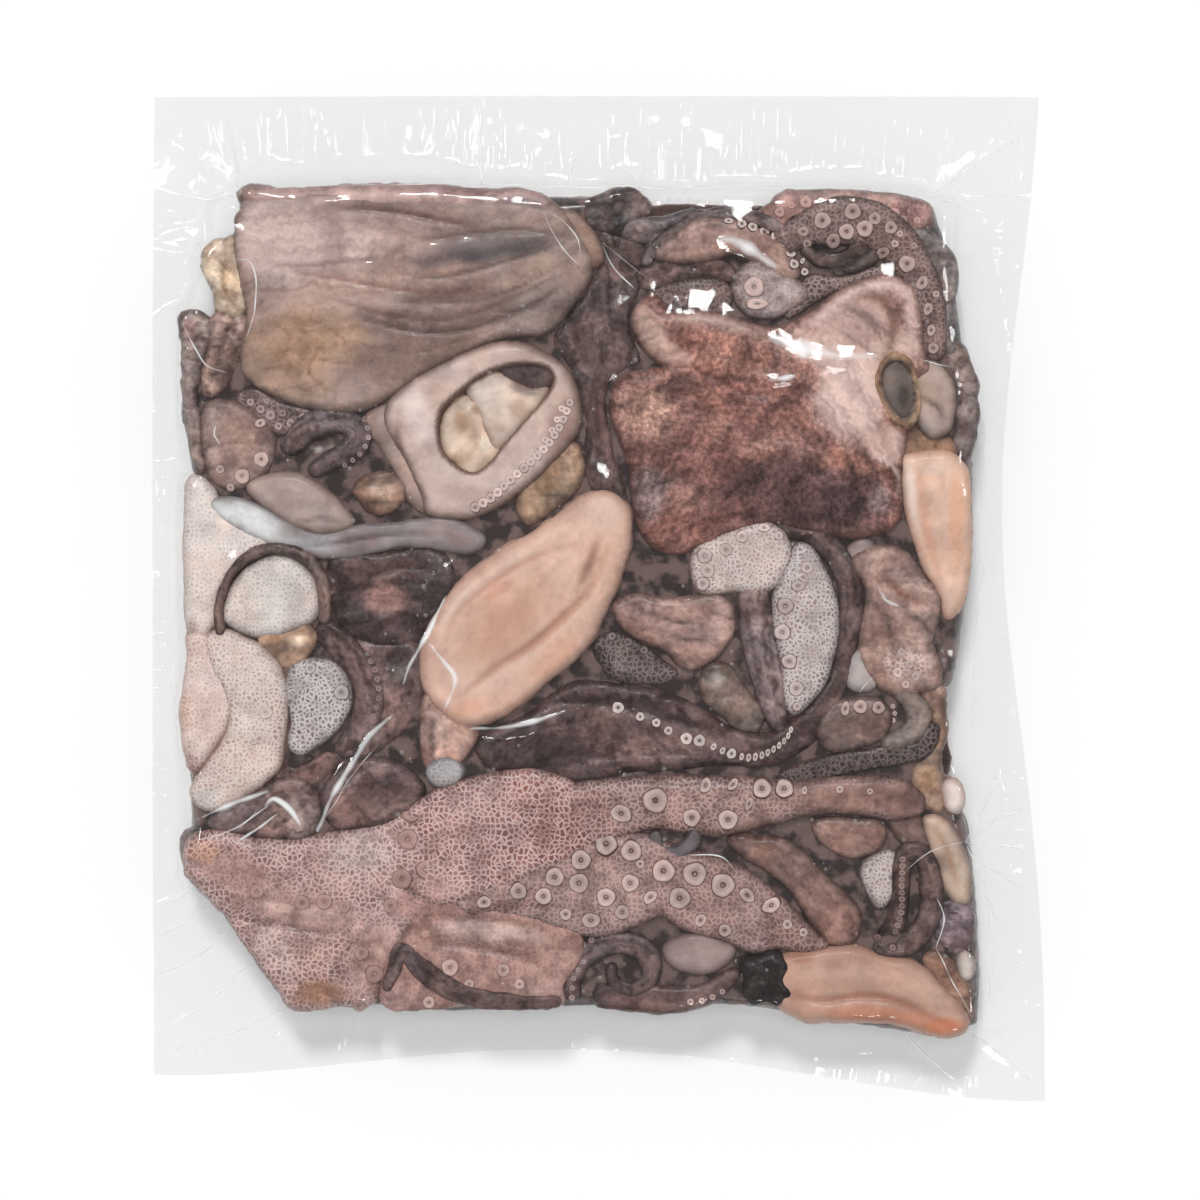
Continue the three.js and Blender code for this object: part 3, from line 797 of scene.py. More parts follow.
bowlFilling = {
    "outline": [(441, 430), (446, 412), (458, 400), (472, 398), (486, 404), (494, 420), (502, 436),
        (492, 460), (474, 472), (456, 464), (444, 450)],
    "edge": 17.2, "top": 20.6, "round": 3, "colour": (212, 194, 178), "blotch": 0.3, "lumps": 1.3,
    "lumpSize": 5, "edgeShadeColour": (160, 124, 98), "rimShade": 0.4, "ragged": 0.7, "floor": 15,
    "patches": [((462, 420, 10, 14, 0), (178, 146, 116), 0.7), ((478, 410, 9, 7, 0), (160, 124, 92), 0.7),
        ((450, 436, 8, 8, 0), (230, 214, 196), 0.8), ((486, 446, 9, 10, 0), (236, 224, 208), 0.85),
        ((462, 458, 12, 8, 0), (188, 160, 132), 0.6)],
}
makeSlab("bowlFilling", bowlFilling, materials["pale"])

bowlLump = {
    "outline": [(468, 392), (482, 380), (500, 374), (516, 384), (532, 390), (546, 388), (540, 404),
        (524, 422), (508, 440), (496, 448), (488, 432), (480, 412)],
    "edge": 17.4, "top": 20.9, "round": 4, "paintedLight": 0.95, "colour": (216, 202, 192), "lumps": 0.7,
    "lumpSize": 6, "edgeShadeColour": (150, 112, 88), "floor": 15,
    "patches": [((526, 388, 18, 9, -10), (122, 108, 104), 0.8),
        ((520, 410, 12, 12, 0), (206, 176, 158), 0.6)],
}
makeSlab("bowlLump", bowlLump, materials["pale"])

bowlDark = {
    "outline": [(504, 368), (526, 364), (548, 369), (554, 380), (540, 388), (524, 386), (508, 378)],
    "edge": 17.6, "top": 20.6, "round": 3, "colour": (104, 88, 86), "blotch": 0.5, "ragged": 0.7,
    "floor": 15,
}
makeSlab("bowlDark", bowlDark, materials["gut"])

armBase = {
    "outline": [(204, 412), (216, 402), (238, 404), (256, 414), (272, 428), (276, 446), (268, 470),
        (250, 484), (232, 488), (214, 478), (206, 456)],
    "edge": 16, "paintedLight": 0.82, "top": 20.6, "round": 6, "colour": (182, 158, 151), "blotch": 0.2,
    "patches": [((212, 440, 10, 30, 0), (196, 178, 172), 0.6),
        ((262, 420, 12, 10, 0), (140, 116, 112), 0.6)],
    "suckers": [(263, 460, 15), (244, 477, 15), (262, 424, 11, 0.8, 20), (222, 470, 9), (212, 484, 7),
        (232, 488, 8), (252, 492, 7), (268, 484, 8), (278, 474, 7)],
}
makeSlab("armBase", armBase, materials["arm"])

smallSuckerPatch = {
    "outline": [(240, 398), (256, 392), (280, 404), (306, 410), (324, 414), (318, 426), (296, 434),
        (274, 430), (256, 420)],
    "edge": 17, "top": 20, "round": 4, "colour": (120, 100, 98), "net": 0.35, "blotch": 0.3,
    "suckers": [(252, 403, 8), (262, 410, 9), (272, 416, 10), (284, 414, 8), (292, 424, 9), (304, 418, 8),
        (280, 427, 8), (314, 420, 7), (268, 402, 6)],
    "suckerRim": (176, 152, 148),
}
makeSlab("smallSuckerPatch", smallSuckerPatch, materials["web"])

foldedArm = {
    "route": [(292, 446), (306, 430), (328, 421), (350, 424), (360, 436), (350, 452), (330, 462),
        (318, 470)],
    "widths": [16, 21, 22, 20, 20, 20, 17, 12], "edge": 17, "top": 21, "round": 3.4,
    "colour": (112, 97, 98), "edgeShadeColour": (56, 46, 48), "rimShade": 0.6,
    "folds": [dent(1.4, 0.5, [(304, 436), (328, 427), (350, 430)], (150, 134, 134), 0.3)],
    "suckerRows": [{"route": [(366, 420), (370, 434), (366, 448), (358, 458), (346, 466)], "count": 7,
        "size": (6, 5)}],
    "suckerRim": (170, 150, 148),
}
makeSlab("foldedArm", foldedArm, materials["dark"])

fleshOval = {
    "outline": [(250, 487), (262, 479), (280, 475), (300, 476), (318, 484), (334, 498), (348, 514),
        (352, 524), (334, 531), (312, 530), (292, 522), (270, 509), (256, 497)],
    "edge": 17, "paintedLight": 0.88, "top": 21.6, "round": 6, "colour": (192, 172, 165), "edgeShadeColour": (120, 98, 92),
    "blotch": 0.1,
    "folds": [dent(0.7, -0.7, [(298, 524), (320, 519), (344, 522)], (104, 84, 80))],
}
makeSlab("fleshOval", fleshOval, materials["pale"])

tanScrap = {
    "outline": [(356, 492), (364, 478), (380, 472), (396, 474), (408, 486), (404, 502), (388, 512),
        (370, 510)],
    "edge": 17, "paintedLight": 0.85, "top": 20.8, "round": 4, "colour": (166, 132, 114), "blotch": 0.5,
    "ragged": 0.8, "lumps": 0.9, "lumpSize": 5,
    "patches": [((384, 490, 14, 11, 0), (214, 186, 168), 0.85), ((366, 482, 8, 8, 0), (132, 90, 66), 0.7)],
}
makeSlab("tanScrap", tanScrap, materials["gut"])

bowlTissue = {
    "outline": [(520, 510), (524, 488), (542, 470), (560, 452), (576, 444), (583, 462), (580, 484),
        (564, 500), (548, 514), (532, 524)],
    "edge": 16.5, "paintedLight": 0.88, "top": 20.4, "round": 5, "colour": (168, 140, 118), "blotch": 0.4,
    "ragged": 0.6,
    "patches": [((548, 478, 16, 22, -30), (150, 118, 88), 0.6),
        ((568, 470, 9, 18, 0), (196, 172, 152), 0.6)],
}
makeSlab("bowlTissue", bowlTissue, materials["gut"])

print("upper left made")


# Upper right: the mottled mantle, its collar and the arms above it
mottledMantle = {
    "outline": [(615, 388), (628, 376), (648, 372), (664, 368), (652, 356), (640, 342), (633, 324),
        (637, 307), (647, 298), (657, 297), (663, 306), (668, 315), (700, 314), (735, 320), (768, 330),
        (792, 325), (815, 310), (836, 295), (860, 282), (885, 277), (906, 284), (917, 302), (921, 330),
        (925, 354), (928, 372), (914, 384), (908, 420), (903, 446), (900, 480), (900, 504), (890, 528),
        (860, 537), (830, 534), (800, 529), (770, 523), (735, 531), (700, 546), (672, 553), (645, 536),
        (634, 500), (630, 470), (622, 440), (612, 414)],
    "edge": 16.6, "top": 23.2, "round": 9, "colour": (140, 103, 95), "step": 1.05, "blotch": 0.16,
    "blotchSize": 5, "lumps": 0.6, "lumpSize": 11, "edgeShadeColour": (92, 66, 62), "rimShade": 0.5,
    "edgeShadeWidth": 1.6, "net": 1, "grainy": 148,
    "spine": [(620, 380), (700, 350), (800, 372), (850, 420), (880, 520)],
    "patches": [((642, 412, 30, 36, 10), (190, 154, 141), 0.97),
        ((700, 346, 44, 24, 12), (162, 117, 106), 0.75), ((770, 405, 66, 34, 10), (138, 96, 88), 0.55),
        ((790, 494, 92, 40, -6), (78, 56, 57), 0.9), ((850, 500, 52, 36, 0), (64, 46, 49), 0.8),
        ((705, 462, 42, 34, 0), (124, 84, 78), 0.6), ((676, 524, 50, 16, 4), (126, 85, 77), 0.8),
        ((648, 496, 20, 32, 0), (122, 108, 110), 0.85), ((652, 336, 16, 36, 28), (200, 170, 160), 0.95),
        ((672, 356, 26, 12, -20), (194, 162, 152), 0.9), ((850, 396, 42, 52, -14), (216, 191, 184), 0.97),
        ((884, 444, 26, 22, 0), (206, 178, 170), 0.95), ((892, 356, 30, 34, 0), (206, 180, 170), 0.95),
        ((850, 324, 54, 32, 18), (196, 168, 161), 0.97), ((812, 352, 46, 16, -12), (212, 186, 178), 0.95),
        ((878, 500, 14, 20, 0), (140, 122, 122), 0.75), ((735, 508, 26, 16, 0), (104, 72, 68), 0.6),
        ((830, 478, 22, 12, 0), (128, 100, 100), 0.5), ((745, 372, 30, 12, -16), (172, 128, 116), 0.5)],
    "folds": [dent(2.2, 0.9, [(662, 318), (700, 320), (736, 328), (768, 338)], (202, 176, 168), 0.9, 1),
        dent(2.6, 1.5, [(790, 334), (818, 320), (842, 300), (866, 290), (890, 288), (906, 300), (910, 326),
        (914, 350), (921, 368)], (216, 190, 184), 0.97, 1), dent(1.1, -1.6, [(852, 300), (872, 299),
        (886, 308), (892, 326), (890, 346), (880, 364)], (112, 82, 68), 0.85, 1),
        dent(1.6, 0.6, [(700, 350), (740, 372), (790, 382), (830, 380)], shade=0.1),
        dent(0.9, -0.6, [(664, 366), (700, 372), (736, 392), (770, 396)], (104, 62, 56)),
        dent(0.6, -0.5, [(660, 402), (690, 396), (716, 410)], (96, 52, 46)),
        dent(1.5, 0.6, [(740, 455), (780, 448), (830, 462)], shade=0.1), dent(0.8, 0.9, [(866, 456),
        (884, 462), (896, 476), (899, 500)], (214, 194, 188), 0.9, 1)],
}
makeSlab("mottledMantle", mottledMantle, materials["mottled"])

siphonRing = {
    "outline": [(879, 398), (876, 380), (882, 363), (894, 356), (907, 364), (914, 386), (915, 410),
        (907, 426), (893, 423)],
    "edge": 20.4, "top": 24.5, "round": 3, "floor": 16, "colour": (176, 146, 120), "blotch": 0.2,
    "edgeShadeColour": (186, 156, 132), "rimShade": 0.1,
    # the pit colour is painted shade in the siphon's hole
    "pits": [{"outline": [(878, 386), (882, 368), (895, 361), (908, 372), (914, 394), (910, 416),
        (898, 420), (886, 406)], "depth": 1.5, "lip": 1.4, "colour": (84, 72, 64), "shade": 1.0}],
}
makeSlab("siphonRing", siphonRing, materials["gut"])

siphonPlug = {
    "outline": [(879, 386), (883, 369), (895, 363), (906, 374), (911, 394), (908, 412), (899, 418),
        (888, 406)],
    "edge": 20.7, "top": 24.1, "round": 4, "colour": (106, 92, 88), "floor": 15, "blotch": 0.12,
    "rimShade": 0.3,
    "patches": [((888, 384, 7, 16, 0), (130, 116, 110), 0.8), ((901, 398, 7, 14, 0), (60, 54, 50), 0.85)],
}
makeSlab("siphonPlug", siphonPlug, materials["peach"])

greyPiece = {
    "outline": [(914, 372), (926, 362), (940, 368), (951, 384), (953, 408), (948, 430), (934, 438),
        (920, 428), (915, 404)],
    "edge": 17.4, "paintedLight": 0.88, "top": 22, "round": 5, "colour": (186, 168, 160), "edgeShadeColour": (92, 78, 72),
    "folds": [dent(0.9, -0.9, [(918, 396), (928, 404), (938, 410), (940, 424)])],
}
makeSlab("greyPiece", greyPiece, materials["peach"])

sideSkin = {
    "outline": [(944, 346), (956, 344), (968, 358), (975, 385), (975, 420), (970, 448), (962, 460),
        (952, 450), (954, 420), (954, 390), (948, 368)],
    "edge": 13, "paintedLight": 1.12, "top": 19.6, "round": 3, "colour": (130, 115, 111), "ragged": 0.7,
    "edgeShadeColour": (56, 46, 46),
    "folds": [dent(0.9, 0.7, [(954, 356), (962, 385), (963, 420), (960, 446)], (160, 146, 144), 0.5)],
}
makeSlab("sideSkin", sideSkin, materials["dark"])

underBrown = {
    "outline": [(892, 428), (912, 424), (932, 436), (950, 440), (958, 456), (940, 470), (910, 466),
        (894, 450)],
    "edge": 15.6, "top": 19, "round": 4, "colour": (150, 118, 96), "blotch": 0.2,
}
makeSlab("underBrown", underBrown, materials["gut"])

cornerSkin = {
    "outline": [(758, 220), (772, 204), (788, 194), (838, 193), (890, 196), (928, 207), (924, 228),
        (904, 240), (870, 226), (836, 230), (800, 240), (776, 232)],
    "edge": 15, "paintedLight": 1.12, "top": 20.2, "round": 5, "colour": (166, 130, 122), "blotch": 0.25,
    "net": 0.25, "ragged": 0.5,
    "patches": [((905, 214, 22, 14, 0), (122, 86, 86), 0.7), ((880, 200, 30, 6, 0), (188, 146, 130), 0.6)],
    "suckers": [(779, 214, 10), (791, 207, 7), (805, 204, 12), (825, 203, 9), (893, 215, 11), (902, 221, 8),
        (886, 206, 7), (916, 222, 7)],
    "suckerRim": (188, 152, 144),
}
makeSlab("cornerSkin", cornerSkin, materials["web"])

cornerArm = {
    "route": [(786, 240), (812, 228), (842, 222), (870, 226), (894, 242), (908, 262), (920, 286),
        (928, 316), (932, 350)],
    "widths": [24, 36, 44, 42, 40, 36, 34, 30, 22], "edge": 17, "paintedLight": 0.44, "top": 22.4, "round": 6.5,
    "colour": (174, 143, 136), "net": 0.35, "edgeShadeColour": (92, 72, 70),
    "patches": [((850, 216, 40, 12, 0), (188, 160, 152), 0.6),
        ((900, 250, 20, 16, 40), (150, 116, 104), 0.6), ((925, 310, 14, 40, 0), (128, 102, 98), 0.7)],
    "suckers": [(821, 223, 17), (851, 214, 17), (845, 234, 16), (832, 243, 14), (863, 231, 17, 1, 0),
        (873, 221, 13), (889, 230, 13), (881, 255, 13, 0.8, 20), (905, 266, 17), (920, 285, 15, 0.75, 60),
        (926, 311, 13, 0.7, 70), (929, 332, 12, 0.7, 80), (931, 350, 11), (802, 234, 12, 0.8, 0),
        (806, 246, 9), (893, 246, 8), (912, 248, 7), (934, 296, 7), (898, 236, 7)],
}
makeSlab("cornerArm", cornerArm, materials["arm"])

outerSkin = {
    "outline": [(902, 234), (922, 229), (936, 240), (948, 252), (955, 272), (954, 300), (950, 330),
        (956, 352), (946, 356), (938, 340), (941, 312), (936, 284), (926, 262), (914, 246)],
    "edge": 14, "paintedLight": 1.12, "top": 20.4, "round": 4, "colour": (134, 125, 122), "ragged": 0.5,
    "edgeShadeColour": (60, 52, 54), "patches": [((938, 262, 12, 18, 30), (132, 124, 124), 0.6)],
}
makeSlab("outerSkin", outerSkin, materials["dark"])

archedArm = {
    "outline": [(656, 258), (668, 242), (688, 228), (710, 221), (738, 224), (762, 233), (782, 247),
        (793, 262), (797, 278), (784, 282), (768, 272), (752, 262), (734, 254), (716, 258), (698, 262),
        (678, 262)],
    "edge": 17.4, "paintedLight": 0.72, "top": 22.6, "round": 5, "colour": (196, 166, 158),
    "edgeShadeColour": (96, 76, 74), "blotch": 0.12, "spine": [(660, 252), (700, 236), (740, 238), (790, 268)],
    "patches": [((720, 236, 34, 10, 0), (200, 172, 166), 0.6),
        ((676, 246, 14, 8, 30), (196, 168, 162), 0.6), ((760, 246, 26, 8, -24), (170, 134, 126), 0.6)],
    "suckers": [(728, 223, 10, 0.6, 0), (741, 226, 9.5), (752, 229, 10), (764, 233, 10), (775, 238, 10),
        (784, 244, 10.5), (790, 254, 10.5), (793, 266, 10), (802, 262, 7, 0.6, 60), (804, 273, 8),
        (808, 280, 7)],
    "suckerRim": (232, 212, 205), "suckerSkin": (92, 74, 72),
}
makeSlab("archedArm", archedArm, materials["arm"])

greyStrand = {
    "route": [(646, 262), (654, 250), (668, 238), (690, 222), (716, 216), (746, 217), (772, 226),
        (792, 240)],
    "widths": [7, 8, 8, 9, 9, 9, 8, 6], "edge": 17.4, "top": 21, "round": 1.5, "colour": (118, 106, 105),
    "rimShade": 0.4, "step": 0.9,
    "suckerRows": [{"route": [(650, 262), (660, 250), (676, 238), (696, 226)], "count": 10, "size": (4.5,
        5)}],
    "suckerRim": (134, 122, 122),
}
makeSlab("greyStrand", greyStrand, materials["dark"])

greyTip = {
    "outline": [(622, 226), (640, 219), (662, 220), (682, 214), (694, 212), (684, 222), (666, 232),
        (652, 242), (634, 242), (622, 236)],
    "edge": 16.4, "paintedLight": 0.84, "top": 20.6, "round": 4, "colour": (124, 115, 117),
    "edgeShadeColour": (58, 50, 52), "patches": [((655, 228, 20, 5, 12), (152, 144, 146), 0.7)],
}
makeSlab("greyTip", greyTip, materials["dark"])

roundEnd = {
    "outline": [(734, 284), (740, 271), (756, 263), (774, 271), (794, 281), (806, 294), (796, 306),
        (774, 317), (750, 316), (736, 303)],
    "edge": 17.6, "top": 22.4, "round": 6, "colour": (172, 156, 153), "net": 0.3, "edgeShadeColour": (88, 74, 72),
    "patches": [((790, 290, 14, 12, 0), (184, 176, 176), 0.7)],
    "suckers": [(753, 289, 20), (756, 306, 22, 0.5, 0)],
}
makeSlab("roundEnd", roundEnd, materials["arm"])

crimpedArm = {
    "outline": [(652, 300), (662, 289), (688, 282), (715, 281), (728, 290), (729, 306), (715, 313),
        (690, 312), (662, 314)],
    "edge": 17, "paintedLight": 0.75, "top": 20.6, "round": 4, "colour": (118, 98, 95), "net": 0.4, "blotch": 0.3,
    "suckers": [(668, 300, 12), (682, 302, 11), (696, 304, 10), (712, 303, 12), (686, 291, 8),
        (700, 292, 8), (714, 291, 8), (674, 290, 7), (722, 297, 7)],
    "suckerRim": (140, 116, 111), "suckerShadeColour": (88, 66, 64),
}
makeSlab("crimpedArm", crimpedArm, materials["web"])

greyBand = {
    "outline": [(640, 272), (660, 262), (690, 263), (718, 262), (732, 270), (733, 282), (716, 279),
        (690, 279), (662, 286), (642, 288)],
    "edge": 16.6, "top": 20, "round": 3, "colour": (136, 117, 114), "edgeShadeColour": (66, 54, 54),
}
makeSlab("greyBand", greyBand, materials["dark"])

curledTip = {
    "route": [(806, 252), (822, 261), (842, 260), (858, 250), (868, 246), (872, 256), (858, 266),
        (838, 272)],
    "widths": [8, 11, 12, 10, 9, 10, 12, 8], "edge": 17, "top": 21, "round": 2.2, "colour": (102, 86, 82),
    "edgeShadeColour": (40, 34, 34),
}
makeSlab("curledTip", curledTip, materials["dark"])

brownBand = {
    "outline": [(800, 286), (812, 276), (836, 280), (862, 274), (880, 270), (890, 276), (868, 284),
        (842, 290), (820, 300), (800, 312), (786, 318), (790, 302)],
    "edge": 17, "paintedLight": 0.8, "top": 20.6, "round": 3, "colour": (126, 106, 101), "net": 0.6, "blotch": 0.35,
    "suckerRows": [{"route": [(806, 296), (828, 288), (852, 280), (876, 276)], "count": 9, "size": (5, 5)}],
    "suckerRim": (160, 138, 132),
}
makeSlab("brownBand", brownBand, materials["web"])

darkLump = {
    "outline": [(588, 206), (600, 196), (616, 192), (634, 194), (648, 202), (652, 214), (640, 222),
        (620, 232), (604, 232), (590, 222)],
    "edge": 15.6, "paintedLight": 1.35, "top": 20.8, "round": 4, "colour": (94, 84, 84), "blotch": 0.7, "lumps": 1.2,
    "lumpSize": 5, "ragged": 0.8,
}
makeSlab("darkLump", darkLump, materials["dark"])

tendonWedge = {
    "outline": [(572, 214), (586, 226), (600, 246), (602, 262), (592, 268), (580, 250), (566, 228),
        (560, 216)],
    "edge": 17, "top": 21.4, "round": 3, "colour": (158, 134, 122), "turn": -50,
}
makeSlab("tendonWedge", tendonWedge, materials["mantle"])

inkWeb = {
    "outline": [(588, 226), (612, 232), (640, 242), (646, 262), (640, 290), (630, 312), (632, 340),
        (640, 362), (616, 376), (606, 400), (610, 440), (622, 480), (628, 520), (600, 500), (584, 470),
        (586, 430), (580, 396), (566, 366), (556, 340), (572, 310), (592, 282), (600, 256)],
    "edge": 15, "top": 19.8, "round": 6, "colour": (92, 76, 75), "blotch": 0.35,
    "spine": [(600, 230), (606, 340), (600, 500)], "lumps": 0.9, "lumpSize": 7,
    "patches": [((616, 300, 22, 22, 0), (124, 112, 112), 0.6),
        ((590, 330, 18, 16, 0), (132, 112, 108), 0.5), ((600, 420, 12, 40, 0), (112, 84, 82), 0.6),
        ((612, 262, 16, 14, 0), (70, 60, 62), 0.6)],
    "folds": [dent(1.0, -1.0, [(598, 360), (594, 400), (598, 450), (612, 492)]),
        dent(0.9, -0.9, [(614, 250), (626, 290), (618, 330)]),
        dent(1.2, 0.7, [(606, 370), (602, 410), (608, 460)], (140, 110, 106))],
}
makeSlab("inkWeb", inkWeb, materials["dark"])

rightPeach = {
    "outline": [(900, 462), (914, 455), (934, 452), (954, 456), (965, 477), (968, 527), (966, 570),
        (960, 602), (946, 617), (937, 590), (922, 566), (911, 531), (903, 496)],
    "edge": 15.4, "top": 21.8, "round": 5.5, "colour": (224, 192, 175), "blotch": 0.06, "turn": 86,
    "edgeShadeColour": (196, 140, 112), "rimShade": 0.4,
    "patches": [((910, 500, 7, 40, 6), (236, 216, 206), 0.9), ((954, 520, 10, 60, 0), (222, 172, 140), 0.8),
        ((930, 470, 20, 8, 0), (226, 204, 192), 0.7), ((940, 590, 10, 18, 0), (216, 188, 176), 0.6)],
    "folds": [dent(1.2, -0.6, [(918, 470), (922, 510), (930, 550), (942, 590)], (206, 150, 122), 0.6),
        dent(1.6, 0.4, [(944, 470), (950, 520), (948, 570)], shade=0.15)],
}
makeSlab("rightPeach", rightPeach, materials["peach"])

print("upper right made")


# Left: dotted pale sheets, the dome and the dark folds
dottedSkin = {
    "outline": [(188, 482), (200, 476), (214, 488), (224, 506), (240, 512), (262, 524), (284, 540),
        (262, 552), (240, 566), (224, 590), (218, 620), (204, 636), (190, 630), (187, 590), (185, 540),
        (186, 508)],
    "edge": 13.5, "top": 20.4, "round": 6, "colour": (226, 216, 211), "net": 0.55, "blotch": 0.06,
    "edgeShadeColour": (150, 126, 118),
    "patches": [((194, 630, 8, 20, 0), (158, 128, 122), 0.7),
        ((245, 540, 24, 16, -30), (212, 206, 204), 0.6)],
    "netPatches": [((230, 520, 20, 12, -20), 0.0)],
}
makeSlab("dottedSkin", dottedSkin, materials["pale"])

paleBand = {
    "outline": [(212, 506), (232, 499), (262, 508), (290, 524), (320, 534), (356, 528), (400, 524),
        (440, 520), (466, 526), (484, 540), (470, 552), (440, 548), (404, 544), (372, 552), (336, 557),
        (300, 553), (268, 543), (240, 528)],
    "edge": 17, "paintedLight": 1.06, "top": 20.8, "round": 3.6, "colour": (150, 141, 143),
    "edgeShadeColour": (110, 100, 102), "blotch": 0.06, "wrinkle": 0.04,
    "spine": [(220, 510), (320, 545), (400, 535), (480, 545)],
    "patches": [((246, 520, 54, 24, -24), (220, 226, 229), 0.95),
        ((318, 544, 40, 10, -4), (178, 182, 188), 0.7), ((360, 542, 30, 10, 8), (128, 112, 112), 0.8),
        ((436, 534, 20, 8, 0), (172, 158, 156), 0.7), ((462, 540, 18, 9, -20), (144, 126, 124), 0.7)],
    "folds": [dent(0.8, -0.6, [(300, 548), (350, 541), (400, 534), (450, 534)])],
}
makeSlab("paleBand", paleBand, materials["pale"])

dome = {
    "outline": [(226, 618), (230, 596), (240, 578), (256, 564), (276, 557), (298, 562), (314, 578),
        (320, 600), (316, 618), (296, 628), (272, 634), (248, 634)],
    "edge": 17, "top": 22.2, "round": 7, "colour": (216, 208, 203), "net": 0.5, "blotch": 0.07,
    "patches": [((250, 620, 20, 10, 0), (204, 186, 176), 0.5)],
}
makeSlab("dome", dome, materials["pale"])

domeRim = {
    "route": [(222, 632), (221, 606), (230, 578), (248, 558), (272, 549), (298, 553), (316, 567),
        (325, 589), (326, 618)],
    "widths": [4, 4, 5, 6, 7, 8, 9, 10, 7], "edge": 17.6, "paintedLight": 1.1, "top": 22.4, "round": 2,
    "colour": (124, 108, 104), "edgeShadeColour": (84, 68, 66), "blotch": 0.2,
}
makeSlab("domeRim", domeRim, materials["dark"])

amberPool = {
    "outline": [(264, 626), (284, 618), (304, 622), (316, 634), (310, 652), (292, 664), (274, 660),
        (264, 646)],
    "edge": 16.6, "top": 20.4, "round": 3, "colour": (190, 160, 138), "blotch": 0.5, "lumps": 0.8,
    "lumpSize": 4, "rimShade": 0.2,
    "patches": [((300, 640, 10, 9, 0), (226, 208, 186), 0.8), ((276, 638, 10, 8, 0), (170, 128, 92), 0.6)],
}
makeSlab("amberPool", amberPool, materials["gut"])

creamSheet = {
    "outline": [(208, 640), (226, 632), (250, 640), (272, 654), (284, 676), (288, 706), (284, 736),
        (280, 764), (262, 784), (240, 798), (222, 808), (204, 806), (194, 792), (204, 770), (222, 746),
        (232, 720), (228, 694), (214, 668)],
    "edge": 17, "paintedLight": 0.92, "top": 22.2, "round": 6, "colour": (224, 206, 196), "net": 0.7, "blotch": 0.06,
    "step": 1.0, "edgeShadeColour": (164, 134, 122),
    "patches": [((210, 795, 16, 10, 20), (206, 200, 198), 0.7),
        ((280, 720, 8, 40, 0), (200, 168, 154), 0.6)],
    "suckers": [(268, 712, 13), (242, 780, 11), (256, 740, 8)], "suckerRim": (224, 208, 198),
    "suckerShadeColour": (196, 176, 166), "suckerSkin": (196, 172, 160),
}
makeSlab("creamSheet", creamSheet, materials["pale"])

creamLobe = {
    "outline": [(190, 636), (206, 632), (220, 646), (228, 672), (236, 700), (230, 726), (214, 750),
        (200, 772), (190, 764), (185, 740), (182, 712), (187, 680), (190, 656)],
    "edge": 13.6, "top": 21, "round": 5.5, "colour": (222, 200, 191), "net": 0.55, "blotch": 0.06,
    "seed": 88, "edgeShadeColour": (160, 118, 104),
    "patches": [((194, 764, 10, 14, 0), (150, 104, 94), 0.85),
        ((186, 712, 6, 26, 0), (206, 164, 144), 0.7)],
}
makeSlab("creamLobe", creamLobe, materials["pale"])

lilacPiece = {
    "outline": [(291, 672), (300, 663), (314, 659), (332, 662), (345, 674), (351, 692), (348, 712),
        (336, 730), (318, 744), (300, 753), (290, 742), (294, 720), (288, 696)],
    "edge": 16.8, "paintedLight": 0.6, "top": 21.6, "round": 5, "colour": (196, 187, 190), "net": 0.95,
    "blotch": 0.06, "edgeShadeColour": (112, 96, 96), "suckers": [(343, 692, 15), (312, 668, 11)],
    "suckerRim": (202, 190, 192), "suckerShadeColour": (178, 164, 168), "suckerSkin": (120, 104, 106),
}
makeSlab("lilacPiece", lilacPiece, materials["pale"])

creaseTissue = {
    "route": [(290, 668), (286, 700), (284, 740), (280, 768), (300, 778), (330, 762)],
    "widths": [12, 12, 13, 16, 20, 18], "edge": 15.4, "top": 19, "round": 2.4, "colour": (128, 104, 100),
    "blotch": 0.4,
}
makeSlab("creaseTissue", creaseTissue, materials["dark"])

brownArm = {
    "route": [(328, 632), (346, 650), (362, 674), (370, 698), (364, 724), (348, 746)],
    "widths": [20, 28, 30, 30, 26, 20], "edge": 15.8, "top": 20.6, "round": 4, "colour": (112, 94, 93),
    "edgeShadeColour": (56, 46, 46),
    "suckerRows": [{"route": [(368, 652), (377, 672), (380, 696), (374, 716)], "count": 8, "size": (7, 6)}],
    "suckerRim": (146, 124, 122), "folds": [dent(1.0, -0.7, [(338, 650), (352, 680), (354, 712)])],
}
makeSlab("brownArm", brownArm, materials["dark"])

darkMass = {
    "outline": [(330, 562), (352, 552), (384, 552), (420, 548), (448, 556), (456, 580), (446, 604),
        (430, 626), (412, 642), (384, 646), (352, 636), (334, 612), (326, 586)],
    "edge": 15, "top": 20, "round": 6, "colour": (80, 65, 65), "blotch": 0.5, "lumps": 0.9, "lumpSize": 7,
    "spine": [(330, 600), (390, 590), (450, 590)],
    "patches": [((388, 598, 24, 20, 10), (158, 124, 118), 0.85), ((350, 610, 20, 20, 0), (58, 50, 52), 0.7),
        ((430, 575, 16, 20, 0), (66, 54, 56), 0.6), ((370, 560, 30, 8, 0), (110, 94, 94), 0.6)],
    "folds": [dent(1.0, -0.9, [(340, 570), (370, 576), (410, 566), (440, 574)])],
}
makeSlab("darkMass", darkMass, materials["dark"])

darkTail = {
    "outline": [(352, 640), (384, 644), (410, 642), (424, 654), (426, 690), (412, 720), (390, 742),
        (366, 756), (344, 752), (362, 724), (376, 696), (372, 664)],
    "edge": 15.2, "top": 19.6, "round": 5, "colour": (116, 96, 94), "blotch": 0.4, "turn": 60,
    "patches": [((400, 670, 16, 16, 0), (96, 100, 96), 0.5),
        ((390, 715, 20, 22, 40), (134, 108, 104), 0.6)],
}
makeSlab("darkTail", darkTail, materials["dark"])

